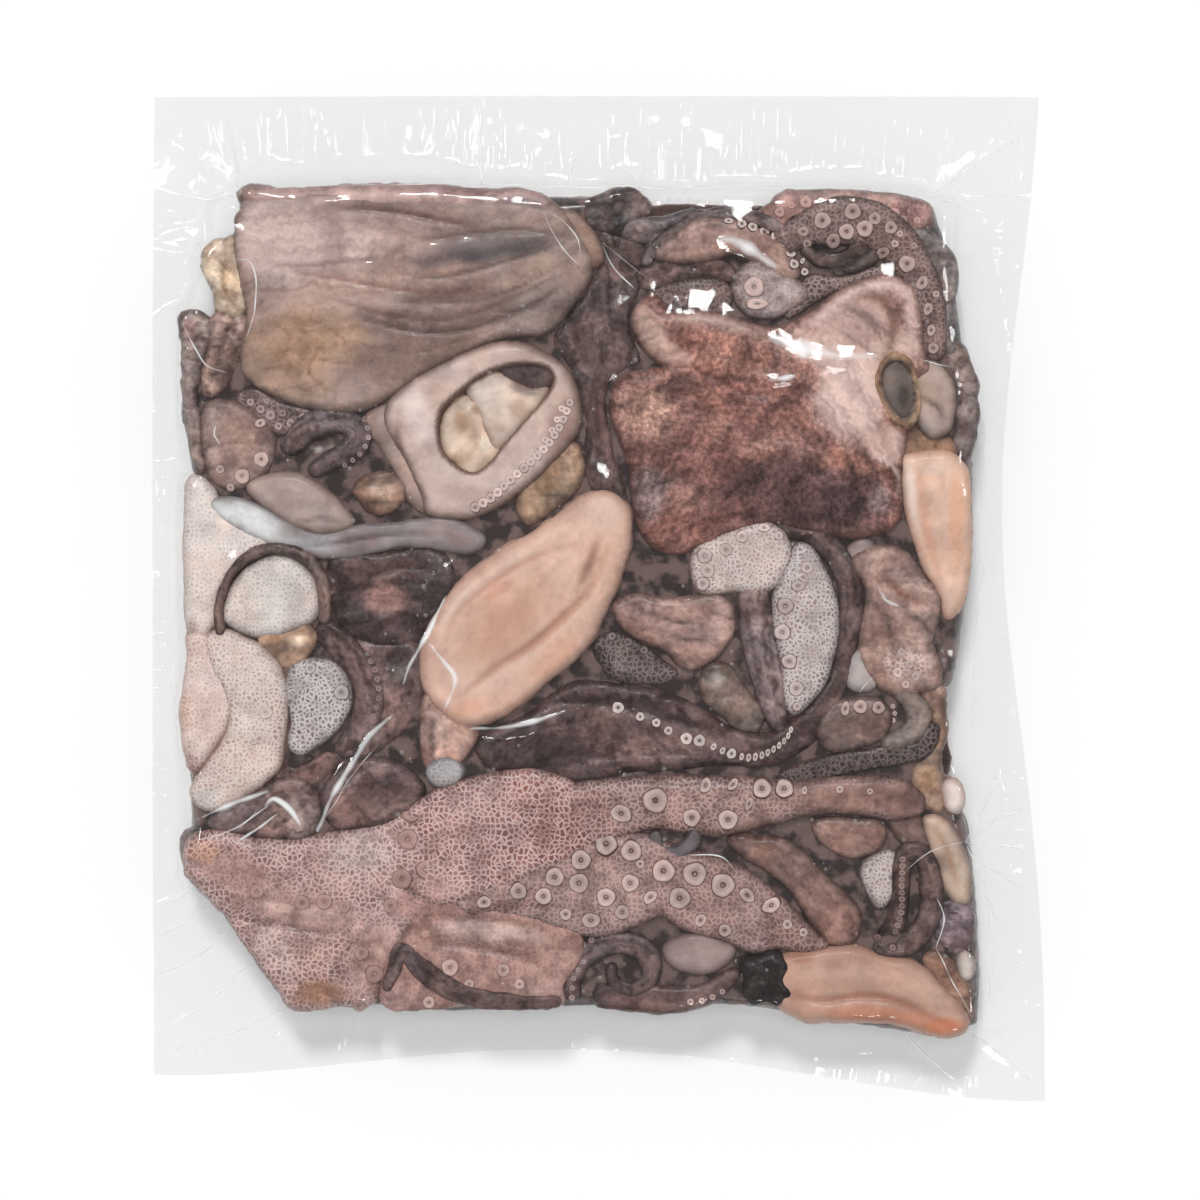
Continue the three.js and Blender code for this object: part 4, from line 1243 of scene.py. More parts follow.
darkLobe = {
    "outline": [(322, 806), (328, 784), (344, 768), (368, 758), (392, 760), (412, 772), (424, 790),
        (414, 808), (390, 822), (360, 828), (336, 826)],
    "edge": 16.4, "top": 21, "round": 5, "colour": (110, 90, 88), "edgeShadeColour": (54, 44, 44), "turn": 20,
    "patches": [((386, 780, 20, 12, 0), (70, 58, 60), 0.8), ((344, 804, 16, 14, 0), (138, 104, 98), 0.6)],
    "folds": [dent(1.2, 0.6, [(336, 812), (350, 788), (376, 770), (404, 776)], (146, 124, 122), 0.3)],
}
makeSlab("darkLobe", darkLobe, materials["dark"])

glossyLobe = {
    "outline": [(212, 824), (222, 808), (248, 796), (270, 784), (292, 778), (312, 786), (322, 806),
        (318, 828), (300, 838), (270, 836), (240, 832)],
    "edge": 16.2, "top": 20.8, "round": 5, "colour": (132, 116, 114), "edgeShadeColour": (60, 50, 50), "turn": 20,
    "patches": [((300, 806, 14, 20, 0), (150, 136, 134), 0.6), ((246, 820, 26, 8, 10), (90, 76, 76), 0.6)],
    "folds": [dent(1.0, -0.8, [(294, 784), (304, 804), (312, 830)])],
}
makeSlab("glossyLobe", glossyLobe, materials["dark"])

print("left side made")


# Middle: the folded peach piece and the dotted pieces
peachTail = {
    "outline": [(428, 694), (450, 706), (472, 716), (478, 734), (468, 752), (452, 768), (434, 772),
        (424, 756), (422, 726)],
    "edge": 16.6, "top": 20.8, "round": 4.5, "colour": (190, 160, 150), "edgeShadeColour": (104, 78, 74),
    "turn": 80, "folds": [dent(0.8, -0.6, [(434, 712), (432, 740), (434, 764)])],
}
makeSlab("peachTail", peachTail, materials["arm"])

peachFold = {
    "outline": [(586, 498), (603, 493), (619, 499), (629, 514), (628, 545), (619, 576), (607, 606),
        (591, 637), (572, 659), (549, 678), (515, 706), (486, 720), (466, 723), (448, 713), (430, 694),
        (423, 665), (428, 636), (442, 610), (463, 583), (492, 558), (524, 540), (549, 524), (571, 506)],
    "edge": 18.2, "paintedLight": 0.9, "top": 24.3, "round": 7, "colour": (230, 193, 176), "step": 1.0,
    "blotch": 0.05, "lumps": 0.3, "edgeShadeColour": (216, 176, 160), "rimShade": 0.5, "turn": 48,
    "patches": [((506, 624, 66, 34, 42), (208, 165, 143), 0.92),
        ((604, 514, 22, 18, 0), (232, 204, 190), 0.8), ((560, 650, 40, 14, 46), (232, 184, 158), 0.7),
        ((460, 600, 30, 8, 52), (222, 196, 184), 0.8), ((470, 706, 24, 10, 20), (226, 176, 152), 0.7),
        ((500, 590, 24, 6, 30), (200, 140, 116), 0.5)],
    "folds": [dent(1.1, -1.5, [(606, 552), (590, 590), (560, 620), (530, 646), (496, 668), (466, 694)],
        (176, 122, 98), 0.8), dent(1.4, -1.6, [(598, 540), (592, 560), (580, 590)], (128, 88, 70)),
        dent(2.6, 0.9, [(612, 530), (606, 570), (584, 610), (548, 650), (500, 690)], (240, 206, 188), 0.2),
        dent(1.2, 0.5, [(440, 650), (452, 612), (490, 576), (536, 548), (580, 520)], (236, 212, 200), 0.5),
        dent(0.8, -0.5, [(448, 640), (460, 612), (496, 582), (540, 556), (584, 546)], (190, 140, 118),
        0.5)],
}
makeSlab("peachFold", peachFold, materials["peach"])

jellyBlob = {
    "outline": [(428, 772), (434, 762), (448, 758), (460, 764), (462, 774), (452, 783), (436, 782)],
    "edge": 18, "paintedLight": 0.86, "top": 22, "round": 3.5, "colour": (186, 186, 192), "net": 0.4,
    "edgeShadeColour": (130, 122, 124),
}
makeSlab("jellyBlob", jellyBlob, materials["pale"])

dottedWedge = {
    "outline": [(693, 556), (700, 545), (716, 537), (734, 530), (752, 524), (768, 524), (782, 534),
        (788, 550), (784, 570), (774, 585), (758, 591), (736, 590), (716, 592), (700, 591), (693, 576)],
    "edge": 17.2, "paintedLight": 0.84, "top": 22.4, "round": 5.5, "colour": (206, 190, 184), "net": 0.75,
    "blotch": 0.06, "edgeShadeColour": (140, 118, 112),
    "suckers": [(704, 556, 15), (725, 550, 13), (741, 537, 12), (707, 571, 14), (702, 584, 13),
        (763, 528, 12, 0.7, 0), (778, 536, 9)],
    "suckerRim": (212, 192, 186), "suckerShadeColour": (176, 154, 150), "suckerSkin": (150, 128, 124),
}
makeSlab("dottedWedge", dottedWedge, materials["pale"])

dottedTall = {
    "outline": [(788, 560), (796, 546), (808, 547), (820, 562), (830, 584), (836, 610), (835, 640),
        (830, 662), (822, 684), (808, 702), (794, 713), (783, 700), (782, 676), (778, 650), (773, 624),
        (774, 596), (780, 576)],
    "edge": 17, "paintedLight": 0.64, "top": 22.6, "round": 6, "colour": (206, 192, 190), "net": 0.8, "blotch": 0.06,
    "edgeShadeColour": (110, 92, 90), "patches": [((800, 560, 16, 14, 0), (190, 180, 178), 0.6)],
    "suckers": [(797, 586, 14, 0.75, 0), (784, 606, 16), (781, 632, 16), (788, 661, 15), (795, 688, 15),
        (806, 568, 12), (796, 706, 9)],
    "suckerRim": (214, 194, 190), "suckerShadeColour": (150, 124, 122), "suckerSkin": (150, 126, 122),
}
makeSlab("dottedTall", dottedTall, materials["pale"])

ridgedArm = {
    "route": [(752, 590), (756, 622), (762, 656), (770, 690), (777, 722)], "widths": [26, 32, 31, 26, 14],
    "edge": 17, "top": 21.8, "round": 4.4, "colour": (136, 119, 119), "edgeShadeColour": (60, 48, 48),
    "folds": [dent(0.7, -0.5, [(746, 596), (750, 640), (764, 700)]),
        dent(0.8, 0.5, [(756, 594), (762, 640), (772, 706)], (160, 142, 142)),
        dent(0.6, -0.5, [(764, 600), (770, 650), (776, 704)])],
}
makeSlab("ridgedArm", ridgedArm, materials["dark"])

archArm = {
    "route": [(782, 530), (806, 530), (826, 544), (842, 566), (850, 592), (849, 624), (844, 656),
        (836, 684), (822, 706), (804, 722)],
    "widths": [12, 20, 22, 22, 22, 20, 18, 18, 18, 14], "edge": 16.2, "top": 20.6, "round": 3,
    "colour": (98, 80, 78), "edgeShadeColour": (52, 42, 42), "blotch": 0.25,
    "folds": [dent(0.9, 0.5, [(800, 528), (826, 540), (846, 574), (852, 620)], (140, 118, 114), 0.5)],
}
makeSlab("archArm", archArm, materials["dark"])

darkGap = {
    "outline": [(690, 592), (720, 592), (745, 590), (748, 620), (752, 660), (764, 700), (780, 726),
        (800, 722), (826, 704), (842, 676), (858, 640), (862, 600), (874, 570), (900, 545), (904, 530),
        (880, 520), (840, 530), (790, 516), (740, 516), (700, 540), (660, 550), (630, 560), (610, 600),
        (590, 640), (560, 670), (600, 684), (640, 684), (690, 690)],
    "edge": 13, "top": 16.6, "round": 4, "colour": (78, 64, 62), "blotch": 0.5, "lumps": 0.8, "lumpSize": 6,
    "step": 1.8, "ragged": 0,
}
makeSlab("darkGap", darkGap, materials["dark"])

tanChunk = {
    "outline": [(614, 606), (628, 598), (644, 595), (662, 599), (680, 600), (700, 595), (720, 597),
        (731, 608), (733, 626), (724, 645), (710, 660), (692, 668), (676, 661), (664, 648), (644, 640),
        (624, 626)],
    "edge": 16.8, "top": 21.4, "round": 5, "colour": (174, 143, 134), "blotch": 0.16, "turn": -20,
    "edgeShadeColour": (100, 78, 74),
    "patches": [((690, 610, 24, 12, 0), (162, 132, 124), 0.6),
        ((684, 650, 20, 12, 20), (184, 146, 136), 0.6)],
    "folds": [dent(0.8, -0.6, [(650, 612), (680, 622), (710, 616)]),
        dent(0.8, -0.5, [(660, 632), (690, 640), (716, 634)]),
        dent(1.2, 0.5, [(640, 606), (670, 606), (700, 608)])],
}
makeSlab("tanChunk", tanChunk, materials["arm"])

clearScrap = {
    "outline": [(700, 676), (712, 664), (728, 666), (738, 680), (750, 698), (762, 716), (756, 732),
        (738, 728), (722, 712), (706, 698)],
    "edge": 16.8, "paintedLight": 0.82, "top": 20.6, "round": 4, "colour": (160, 142, 134), "blotch": 0.6,
    "lumps": 0.9, "lumpSize": 4, "ragged": 0.8,
    "patches": [((716, 678, 10, 8, 0), (190, 184, 178), 0.7),
        ((742, 706, 10, 12, 0), (140, 118, 104), 0.6)],
}
makeSlab("clearScrap", clearScrap, materials["gut"])

netScrap = {
    "outline": [(596, 652), (606, 634), (624, 636), (646, 648), (662, 660), (676, 674), (660, 684),
        (636, 682), (612, 676)],
    "edge": 16, "paintedLight": 0.5, "top": 20, "round": 4, "colour": (112, 98, 96), "net": 0.35, "blotch": 0.4,
    "ragged": 0.6,
    "suckers": [(612, 636, 8), (628, 642, 9), (644, 650, 8), (636, 660, 8), (618, 654, 8)],
    "suckerRim": (140, 124, 122), "patches": [((622, 664, 16, 9, -20), (168, 158, 158), 0.6)],
}
makeSlab("netScrap", netScrap, materials["web"])

mauveArm = {
    "outline": [(476, 742), (500, 728), (530, 712), (552, 694), (580, 682), (620, 684), (660, 692),
        (700, 708), (730, 728), (760, 734), (786, 724), (804, 712), (824, 716), (812, 740), (790, 756),
        (760, 764), (720, 764), (680, 768), (640, 770), (600, 776), (560, 780), (520, 768), (490, 766)],
    "edge": 15.6, "paintedLight": 0.72, "top": 20.8, "round": 7, "colour": (112, 92, 92), "blotch": 0.3,
    "lumps": 0.7, "lumpSize": 9, "spine": [(480, 755), (560, 725), (640, 725), (720, 748), (810, 730)],
    "patches": [((650, 748, 60, 16, 4), (142, 116, 112), 0.8), ((540, 748, 50, 20, -10), (76, 60, 60), 0.8),
        ((620, 700, 60, 10, 0), (72, 58, 58), 0.7), ((480, 750, 20, 14, 0), (100, 84, 80), 0.5),
        ((640, 712, 40, 12, 0), (122, 104, 104), 0.5)],
    "folds": [dent(1.2, -0.9, [(560, 700), (620, 706), (690, 724), (740, 744)]),
        dent(1.2, 0.5, [(560, 770), (640, 762), (720, 758)], (160, 132, 128))],
    "suckers": [(618, 707, 12), (640, 716, 9), (656, 722, 9), (668, 730, 9), (686, 738, 12), (699, 740, 12),
        (713, 746, 8, 0.7, 60), (722, 750, 8, 0.7, 60), (731, 753, 11, 0.85, 60), (741, 756, 8, 0.6, 80)],
    "suckerRows": [{"route": [(748, 757), (760, 755), (770, 750), (779, 744), (786, 737), (790, 729)],
        "count": 9, "size": (9, 7), "squeeze": 0.6, "turn": 80}],
    "suckerRim": (216, 200, 192),
}
makeSlab("mauveArm", mauveArm, materials["dark"])

print("middle made")


# Right: the cluster, hooked arm and small ends
tissueCluster = {
    "outline": [(850, 562), (866, 548), (886, 546), (904, 552), (916, 568), (928, 584), (940, 600),
        (938, 618), (930, 640), (940, 668), (936, 686), (914, 692), (888, 692), (868, 676), (858, 650),
        (862, 620), (868, 590)],
    "edge": 16, "paintedLight": 0.88, "top": 21.4, "round": 6, "colour": (172, 146, 138), "blotch": 0.25,
    "lumps": 1.1, "lumpSize": 8, "edgeShadeColour": (96, 76, 72),
    "patches": [((892, 574, 18, 14, 0), (196, 172, 164), 0.7),
        ((880, 624, 18, 26, 0), (148, 118, 108), 0.6), ((904, 662, 26, 22, -20), (206, 186, 178), 0.85),
        ((930, 640, 9, 20, 0), (168, 150, 140), 0.6)],
    "netPatches": [((904, 662, 24, 22, -20), 0.8)],
    "folds": [dent(0.9, -0.9, [(878, 566), (892, 588), (912, 600), (930, 606)], (140, 88, 66)),
        dent(0.9, -0.8, [(868, 600), (886, 620), (890, 650)]),
        dent(0.8, -0.7, [(900, 610), (920, 622), (930, 640)])],
    "suckers": [(896, 672, 10), (908, 664, 9), (900, 652, 8), (914, 676, 9), (904, 684, 8)],
    "suckerRim": (206, 184, 174), "suckerShadeColour": (180, 152, 144), "suckerSkin": (170, 140, 132),
}
makeSlab("tissueCluster", tissueCluster, materials["arm"])

whitish = {
    "outline": [(846, 552), (856, 541), (868, 540), (874, 550), (866, 562), (854, 564)],
    "edge": 16.4, "top": 20.4, "round": 3, "colour": (176, 164, 162),
}
makeSlab("whitishEnd", whitish, materials["pale"])

clearEnd = {
    "outline": [(846, 664), (854, 652), (864, 656), (874, 674), (872, 686), (858, 690), (846, 682)],
    "edge": 16.4, "paintedLight": 0.75, "top": 20.6, "round": 3, "colour": (204, 200, 202),
    "edgeShadeColour": (120, 108, 108),
}
makeSlab("clearEnd", clearEnd, materials["pale"])

pinkOval = {
    "outline": [(818, 734), (824, 712), (836, 701), (856, 698), (876, 700), (888, 712), (886, 730),
        (872, 742), (850, 748), (828, 748)],
    "edge": 16.8, "paintedLight": 0.68, "top": 21.2, "round": 5, "colour": (146, 124, 118),
    "edgeShadeColour": (76, 62, 60),
    "patches": [((850, 728, 24, 12, 0), (164, 138, 130), 0.6),
        ((856, 704, 30, 5, 0), (178, 156, 150), 0.6)],
    "suckers": [(844, 708, 15, 0.6, 80), (859, 706, 14), (877, 707, 13)],
}
makeSlab("pinkOval", pinkOval, materials["arm"])

hookedArm = {
    "route": [(888, 742), (902, 738), (914, 728), (918, 712), (910, 700), (900, 694)],
    "widths": [13, 17, 19, 20, 17, 10], "edge": 16.6, "top": 21, "round": 3, "colour": (154, 140, 134),
    "edgeShadeColour": (78, 66, 64),
    "suckerRows": [{"route": [(888, 726), (894, 716), (892, 706)], "count": 4, "size": (5, 5)}],
}
makeSlab("hookedArm", hookedArm, materials["arm"])

crimpedBand = {
    "route": [(786, 778), (812, 770), (840, 763), (868, 758), (896, 754), (922, 748), (932, 730)],
    "widths": [14, 18, 18, 17, 17, 16, 12], "edge": 16.6, "paintedLight": 0.56, "top": 20.6, "round": 2.6,
    "colour": (92, 77, 75), "net": 0.3, "blotch": 0.4,
    "suckerRows": [{"route": [(788, 772), (820, 762), (860, 756), (900, 750)], "count": 15, "size": (5.5,
        4.5)}, {"route": [(792, 782), (826, 774), (866, 766), (900, 760)], "count": 13, "size": (5, 4)}],
    "suckerRim": (116, 98, 94),
}
makeSlab("crimpedBand", crimpedBand, materials["web"])

sideTissue = {
    "outline": [(918, 690), (938, 684), (946, 700), (944, 730), (938, 760), (946, 790), (940, 812),
        (922, 806), (910, 786), (914, 764), (926, 744), (932, 716)],
    "edge": 14, "top": 19.4, "round": 4, "colour": (160, 136, 122), "blotch": 0.5, "ragged": 0.8,
    "patches": [((926, 778, 14, 16, 0), (194, 160, 128), 0.7)],
}
makeSlab("sideTissue", sideTissue, materials["gut"])

teardrop = {
    "outline": [(943, 786), (950, 780), (958, 786), (962, 800), (957, 811), (948, 808), (944, 797)],
    "edge": 16, "top": 20.4, "round": 2.6, "colour": (228, 212, 204), "edgeShadeColour": (170, 140, 126),
}
makeSlab("teardrop", teardrop, materials["pale"])

creamStrip = {
    "outline": [(922, 820), (936, 816), (950, 826), (962, 850), (968, 880), (966, 902), (952, 900),
        (940, 880), (930, 852)],
    "edge": 14.4, "top": 20, "round": 4, "colour": (204, 178, 160), "blotch": 0.2, "turn": 70,
    "folds": [dent(1.0, -0.7, [(932, 826), (946, 850), (956, 888)], (158, 122, 96))],
}
makeSlab("creamStrip", creamStrip, materials["pale"])

whiteOval = {
    "outline": [(958, 958), (964, 951), (970, 958), (971, 972), (965, 978), (959, 970)],
    "edge": 16.6, "top": 20, "round": 2, "colour": (230, 216, 208),
}
makeSlab("whiteOval", whiteOval, materials["pale"])

plumPatch = {
    "outline": [(932, 904), (950, 898), (968, 906), (971, 930), (968, 950), (952, 954), (938, 944),
        (934, 924)],
    "edge": 14.6, "top": 19.2, "round": 4, "colour": (122, 106, 112), "edgeShadeColour": (70, 58, 60),
}
makeSlab("plumPatch", plumPatch, materials["dark"])

brownWedge = {
    "outline": [(922, 958), (934, 950), (950, 960), (966, 984), (971, 1006), (966, 1022), (954, 1008),
        (942, 990), (932, 976)],
    "edge": 15, "top": 19.8, "round": 3.4, "colour": (150, 118, 102), "blotch": 0.3,
}
makeSlab("brownWedge", brownWedge, materials["gut"])

print("right side made")


# Lower half: the netted web and the long arms
underWeb = {
    "outline": [(186, 834), (240, 832), (320, 830), (420, 800), (500, 775), (620, 775), (740, 775),
        (900, 770), (950, 800), (968, 860), (972, 940), (972, 1010), (940, 1030), (860, 1022), (778, 1006),
        (700, 1002), (560, 1004), (450, 1008), (370, 1002), (296, 1007), (277, 985), (256, 958), (231, 921),
        (206, 892), (187, 874)],
    "edge": 11, "top": 17.2, "round": 5, "colour": (88, 68, 64), "blotch": 0.5, "step": 2.2, "ragged": 0,
    "floor": 6,
}
makeSlab("underWeb", underWeb, materials["dark"])

upperWeb = {
    "outline": [(408, 812), (424, 798), (450, 786), (480, 777), (515, 771), (548, 772), (575, 784),
        (592, 800), (604, 826), (590, 846), (560, 862), (530, 876), (500, 888), (474, 898), (446, 904),
        (428, 900), (420, 880), (424, 850), (416, 830)],
    "edge": 16.8, "paintedLight": 0.9, "top": 22.8, "round": 7, "colour": (182, 146, 141), "net": 1.0,
    "blotch": 0.08, "step": 1.05, "edgeShadeColour": (120, 90, 86),
    "patches": [((560, 830, 36, 32, 0), (166, 118, 110), 0.85),
        ((470, 800, 50, 18, 20), (192, 164, 160), 0.7), ((450, 880, 30, 20, 30), (196, 164, 160), 0.7),
        ((500, 850, 40, 20, 30), (168, 128, 122), 0.6)],
    "netPatches": [((440, 892, 24, 14, 20), 0.5)],
}
makeSlab("upperWeb", upperWeb, materials["web"])

lowerWeb = {
    "outline": [(187, 850), (198, 834), (224, 830), (260, 838), (300, 838), (340, 831), (380, 823),
        (410, 808), (428, 816), (434, 850), (440, 880), (430, 908), (410, 930), (396, 950), (384, 976),
        (372, 1001), (340, 1004), (297, 1007), (277, 985), (256, 958), (231, 921), (206, 892), (187, 874)],
    "edge": 14.6, "paintedLight": 0.95, "top": 22, "round": 8, "colour": (184, 153, 148), "net": 0.9, "blotch": 0.1,
    "step": 1.05, "edgeShadeColour": (134, 98, 88), "ragged": 0.6,
    "patches": [((236, 868, 60, 26, -20), (164, 130, 125), 0.9),
        ((205, 850, 22, 14, 0), (196, 150, 124), 0.7), ((362, 850, 48, 26, 10), (206, 190, 188), 0.9),
        ((320, 880, 50, 16, 0), (186, 158, 153), 0.6), ((300, 905, 50, 20, -8), (178, 148, 142), 0.8),
        ((320, 990, 30, 20, 0), (166, 122, 92), 0.8), ((372, 960, 26, 40, 10), (182, 150, 142), 0.8),
        ((410, 900, 22, 22, 0), (180, 138, 130), 0.7), ((272, 948, 34, 26, -44), (204, 184, 180), 0.85)],
    "netPatches": [((236, 872, 52, 22, -20), 0.3), ((310, 912, 60, 26, -8), 0.25),
        ((372, 955, 34, 46, 10), 0.2), ((322, 992, 28, 16, 0), 0.2), ((410, 905, 24, 20, 0), 0.3)],
    "folds": [dent(1.2, -1.2, [(216, 912), (250, 918), (290, 924), (330, 932), (352, 924)], (104, 78, 74)),
        dent(1.4, 0.7, [(232, 902), (270, 906), (310, 912), (350, 914)]),
        dent(1.1, -0.9, [(330, 1000), (336, 970), (352, 944), (372, 926)], (124, 92, 84)),
        dent(1.2, 0.6, [(358, 930), (384, 906), (404, 884), (412, 860)]),
        dent(1.0, -0.8, [(400, 876), (412, 890), (430, 900)])],
    "suckers": [(413, 810, 20), (440, 819, 21), (409, 838, 20), (438, 844, 19), (427, 868, 18),
        (403, 877, 20), (259, 890, 14), (304, 901, 15), (326, 900, 16), (346, 905, 12),
        (240, 902, 12, 0.8, 20), (288, 896, 11), (376, 972, 18), (408, 989, 18), (363, 951, 14),
        (392, 904, 14), (360, 1004, 12), (230, 876, 9), (436, 888, 12)],
    "suckerRim": (176, 143, 134), "suckerShadeColour": (166, 130, 121), "suckerSkin": (140, 104, 96),
}
makeSlab("lowerWeb", lowerWeb, materials["web"])

middleWeb = {
    "outline": [(428, 906), (452, 898), (500, 896), (545, 906), (570, 922), (580, 944), (572, 966),
        (560, 984), (560, 1000), (520, 1002), (470, 1000), (430, 1004), (396, 1006), (384, 996), (388, 972),
        (400, 944), (412, 926)],
    "edge": 19.2, "paintedLight": 0.84, "top": 21.8, "round": 7, "colour": (176, 142, 134), "net": 0.2,
    "blotch": 0.15, "spine": [(400, 940), (480, 940), (570, 960)], "edgeShadeColour": (136, 104, 96),
    "rimShade": 0.25,
    "patches": [((500, 930, 60, 10, -8), (200, 172, 164), 0.8),
        ((480, 970, 60, 18, -8), (186, 150, 142), 0.7), ((440, 910, 30, 12, 0), (160, 122, 114), 0.7)],
    "folds": [dent(1.8, 0.9, [(420, 928), (475, 932), (530, 938), (566, 956)], (206, 182, 176), 0.5),
        dent(1.0, -1.2, [(424, 940), (480, 946), (524, 956), (556, 974)], (112, 76, 68)),
        dent(1.0, -0.8, [(430, 916), (480, 916), (540, 924)], (132, 98, 92))],
    "suckers": [(451, 965, 17), (504, 968, 13), (430, 1000, 12), (470, 982, 10), (520, 982, 10)],
    "suckerRim": (206, 176, 168), "suckerShadeColour": (176, 140, 132), "suckerSkin": (150, 116, 108),
}
makeSlab("middleWeb", middleWeb, materials["web"])

darkSlit = {
    "route": [(388, 984), (396, 966), (402, 948), (416, 960), (440, 980), (474, 995), (520, 1000),
        (556, 999)],
    "widths": [3, 8, 14, 15, 13, 12, 9, 5], "edge": 20.6, "top": 22.9, "round": 1.6,
    "colour": (102, 85, 83), "rimShade": 0.2, "step": 0.9,
}
makeSlab("darkSlit", darkSlit, materials["dark"])

longArm = {
    "outline": [(566, 790), (590, 782), (625, 778), (660, 776), (700, 777), (744, 778), (790, 782),
        (830, 778), (876, 776), (908, 784), (922, 798), (916, 812), (892, 818), (860, 812), (820, 812),
        (784, 820), (744, 828), (712, 834), (680, 830), (650, 826), (620, 836), (592, 846), (572, 826)],
    "edge": 16.8, "paintedLight": 0.66, "top": 23, "round": 7, "colour": (176, 142, 136), "net": 0.6, "blotch": 0.12,
    "step": 1.05, "spine": [(570, 810), (650, 802), (740, 802), (820, 796), (915, 798)],
    "edgeShadeColour": (100, 74, 70),
    "patches": [((590, 812, 30, 24, 0), (170, 124, 116), 0.7),
        ((720, 800, 50, 16, 0), (190, 158, 150), 0.6), ((846, 798, 64, 18, 0), (172, 136, 124), 0.85),
        ((904, 798, 24, 16, 0), (140, 108, 98), 0.7), ((750, 820, 40, 8, 8), (180, 150, 144), 0.6)],
    "netPatches": [((836, 798, 60, 30, 0), 0.1), ((900, 800, 34, 26, 0), 0.02),
        ((750, 822, 40, 8, 6), 0.1)],
    "folds": [dent(1.0, -0.5, [(640, 780), (680, 784), (730, 782)], (130, 96, 90))],
    "suckers": [(655, 799, 25), (761, 787, 19), (783, 787, 18), (691, 816, 18), (727, 818, 20),
        (732, 783, 14, 0.6, 50), (705, 784, 16, 0.7, 70), (621, 812, 22, 0.8, -20), (748, 802, 14, 0.5, 70),
        (803, 789, 9, 0.6, 80), (838, 788, 8), (868, 790, 7)],
    "suckerRim": (210, 184, 176), "suckerShadeColour": (136, 104, 97), "suckerSkin": (96, 68, 64),
}
makeSlab("longArm", longArm, materials["web"])

secondArm = {
    "outline": [(456, 900), (480, 888), (510, 878), (540, 866), (566, 852), (596, 836), (626, 832),
        (652, 836), (674, 846), (700, 852), (730, 862), (752, 874), (772, 890), (794, 910), (812, 930),
        (826, 944), (806, 950), (780, 946), (756, 950), (730, 940), (706, 934), (684, 926), (660, 914),
        (630, 926), (600, 934), (570, 930), (540, 920), (500, 912), (470, 912)],
    "edge": 17, "paintedLight": 0.61, "top": 23.2, "round": 8, "colour": (192, 158, 152), "net": 0.45, "blotch": 0.1,
    "step": 1.05, "spine": [(460, 902), (540, 888), (620, 872), (700, 892), (810, 944)],
    "edgeShadeColour": (108, 80, 76),
    "patches": [((610, 885, 44, 24, 8), (208, 178, 171), 0.8),
        ((700, 900, 50, 24, -16), (192, 156, 150), 0.6), ((780, 926, 34, 18, -30), (166, 126, 118), 0.8),
        ((510, 898, 40, 10, 14), (178, 140, 134), 0.7), ((570, 850, 24, 10, 30), (176, 132, 124), 0.5)],
    "folds": [dent(1.2, -0.6, [(660, 838), (690, 850), (720, 856)], (120, 88, 84)),
        dent(1.4, -0.6, [(480, 908), (530, 904), (580, 908)], (148, 110, 104))],
    "suckers": [(606, 842, 22), (631, 849, 21), (581, 858, 20), (555, 875, 19), (579, 881, 20),
        (544, 894, 17), (519, 889, 17), (485, 900, 15, 0.8, 10), (663, 869, 23), (694, 872, 24),
        (722, 883, 24), (679, 896, 22), (606, 895, 19), (630, 881, 18), (622, 910, 15),
        (591, 918, 19, 0.8, 0), (770, 903, 20, 0.7, 30), (746, 893, 18, 0.7, -40), (724, 928, 13),
        (700, 918, 14, 0.8, 60), (650, 895, 16, 0.7, 40), (566, 912, 12), (802, 930, 9), (786, 922, 10),
        (640, 862, 9)],
    "suckerRim": (210, 184, 176), "suckerShadeColour": (136, 104, 97), "suckerSkin": (96, 68, 64),
}
makeSlab("secondArm", secondArm, materials["web"])

greyScrap = {
    "outline": [(648, 844), (656, 832), (662, 846), (676, 848), (688, 838), (694, 830), (698, 840),
        (686, 852), (668, 858), (652, 858)],
    "edge": 19.6, "paintedLight": 0.62, "top": 22.6, "round": 2, "colour": (150, 140, 144),
    "edgeShadeColour": (104, 90, 92), "ragged": 0.2, "step": 0.9, "floor": 16,
}
makeSlab("greyScrap", greyScrap, materials["pale"])

curledArm = {
    "route": [(572, 992), (574, 972), (584, 956), (600, 946), (622, 941), (642, 948), (652, 966),
        (646, 982), (630, 988), (614, 980), (612, 966)],
    "widths": [12, 15, 17, 18, 18, 18, 17, 14, 11, 9, 6], "edge": 16.4, "paintedLight": 0.72, "top": 21,
    "round": 2.8, "colour": (126, 108, 108), "edgeShadeColour": (54, 42, 42),
    "suckerRows": [{"route": [(564, 986), (566, 966), (576, 950), (592, 938), (610, 932)], "count": 9,
        "size": (7, 6)}, {"route": [(572, 996), (574, 976), (584, 960)], "count": 5, "size": (6, 5)}],
    "suckerRim": (168, 148, 146),
}
makeSlab("curledArm", curledArm, materials["dark"])

paleOval = {
    "outline": [(664, 948), (676, 938), (694, 934), (714, 938), (732, 946), (728, 960), (710, 970),
        (688, 970), (670, 962)],
    "edge": 16.8, "paintedLight": 0.8, "top": 21.2, "round": 4.6, "colour": (178, 154, 150),
    "edgeShadeColour": (104, 84, 80), "blotch": 0.08,
    "suckers": [(742, 942, 8, 0.7, 40), (738, 960, 7), (730, 970, 6)],
}
makeSlab("paleOval", paleOval, materials["pale"])

tubeArm = {
    "route": [(606, 994), (640, 996), (680, 998), (712, 990), (732, 974)], "widths": [22, 26, 24, 18, 12],
    "edge": 15.6, "paintedLight": 0.74, "top": 20.4, "round": 3.6, "colour": (140, 114, 111),
    "edgeShadeColour": (66, 50, 50),
    "suckerRows": [{"route": [(690, 1000), (706, 998), (722, 990)], "count": 4, "size": (7, 6)}],
}
makeSlab("tubeArm", tubeArm, materials["arm"])

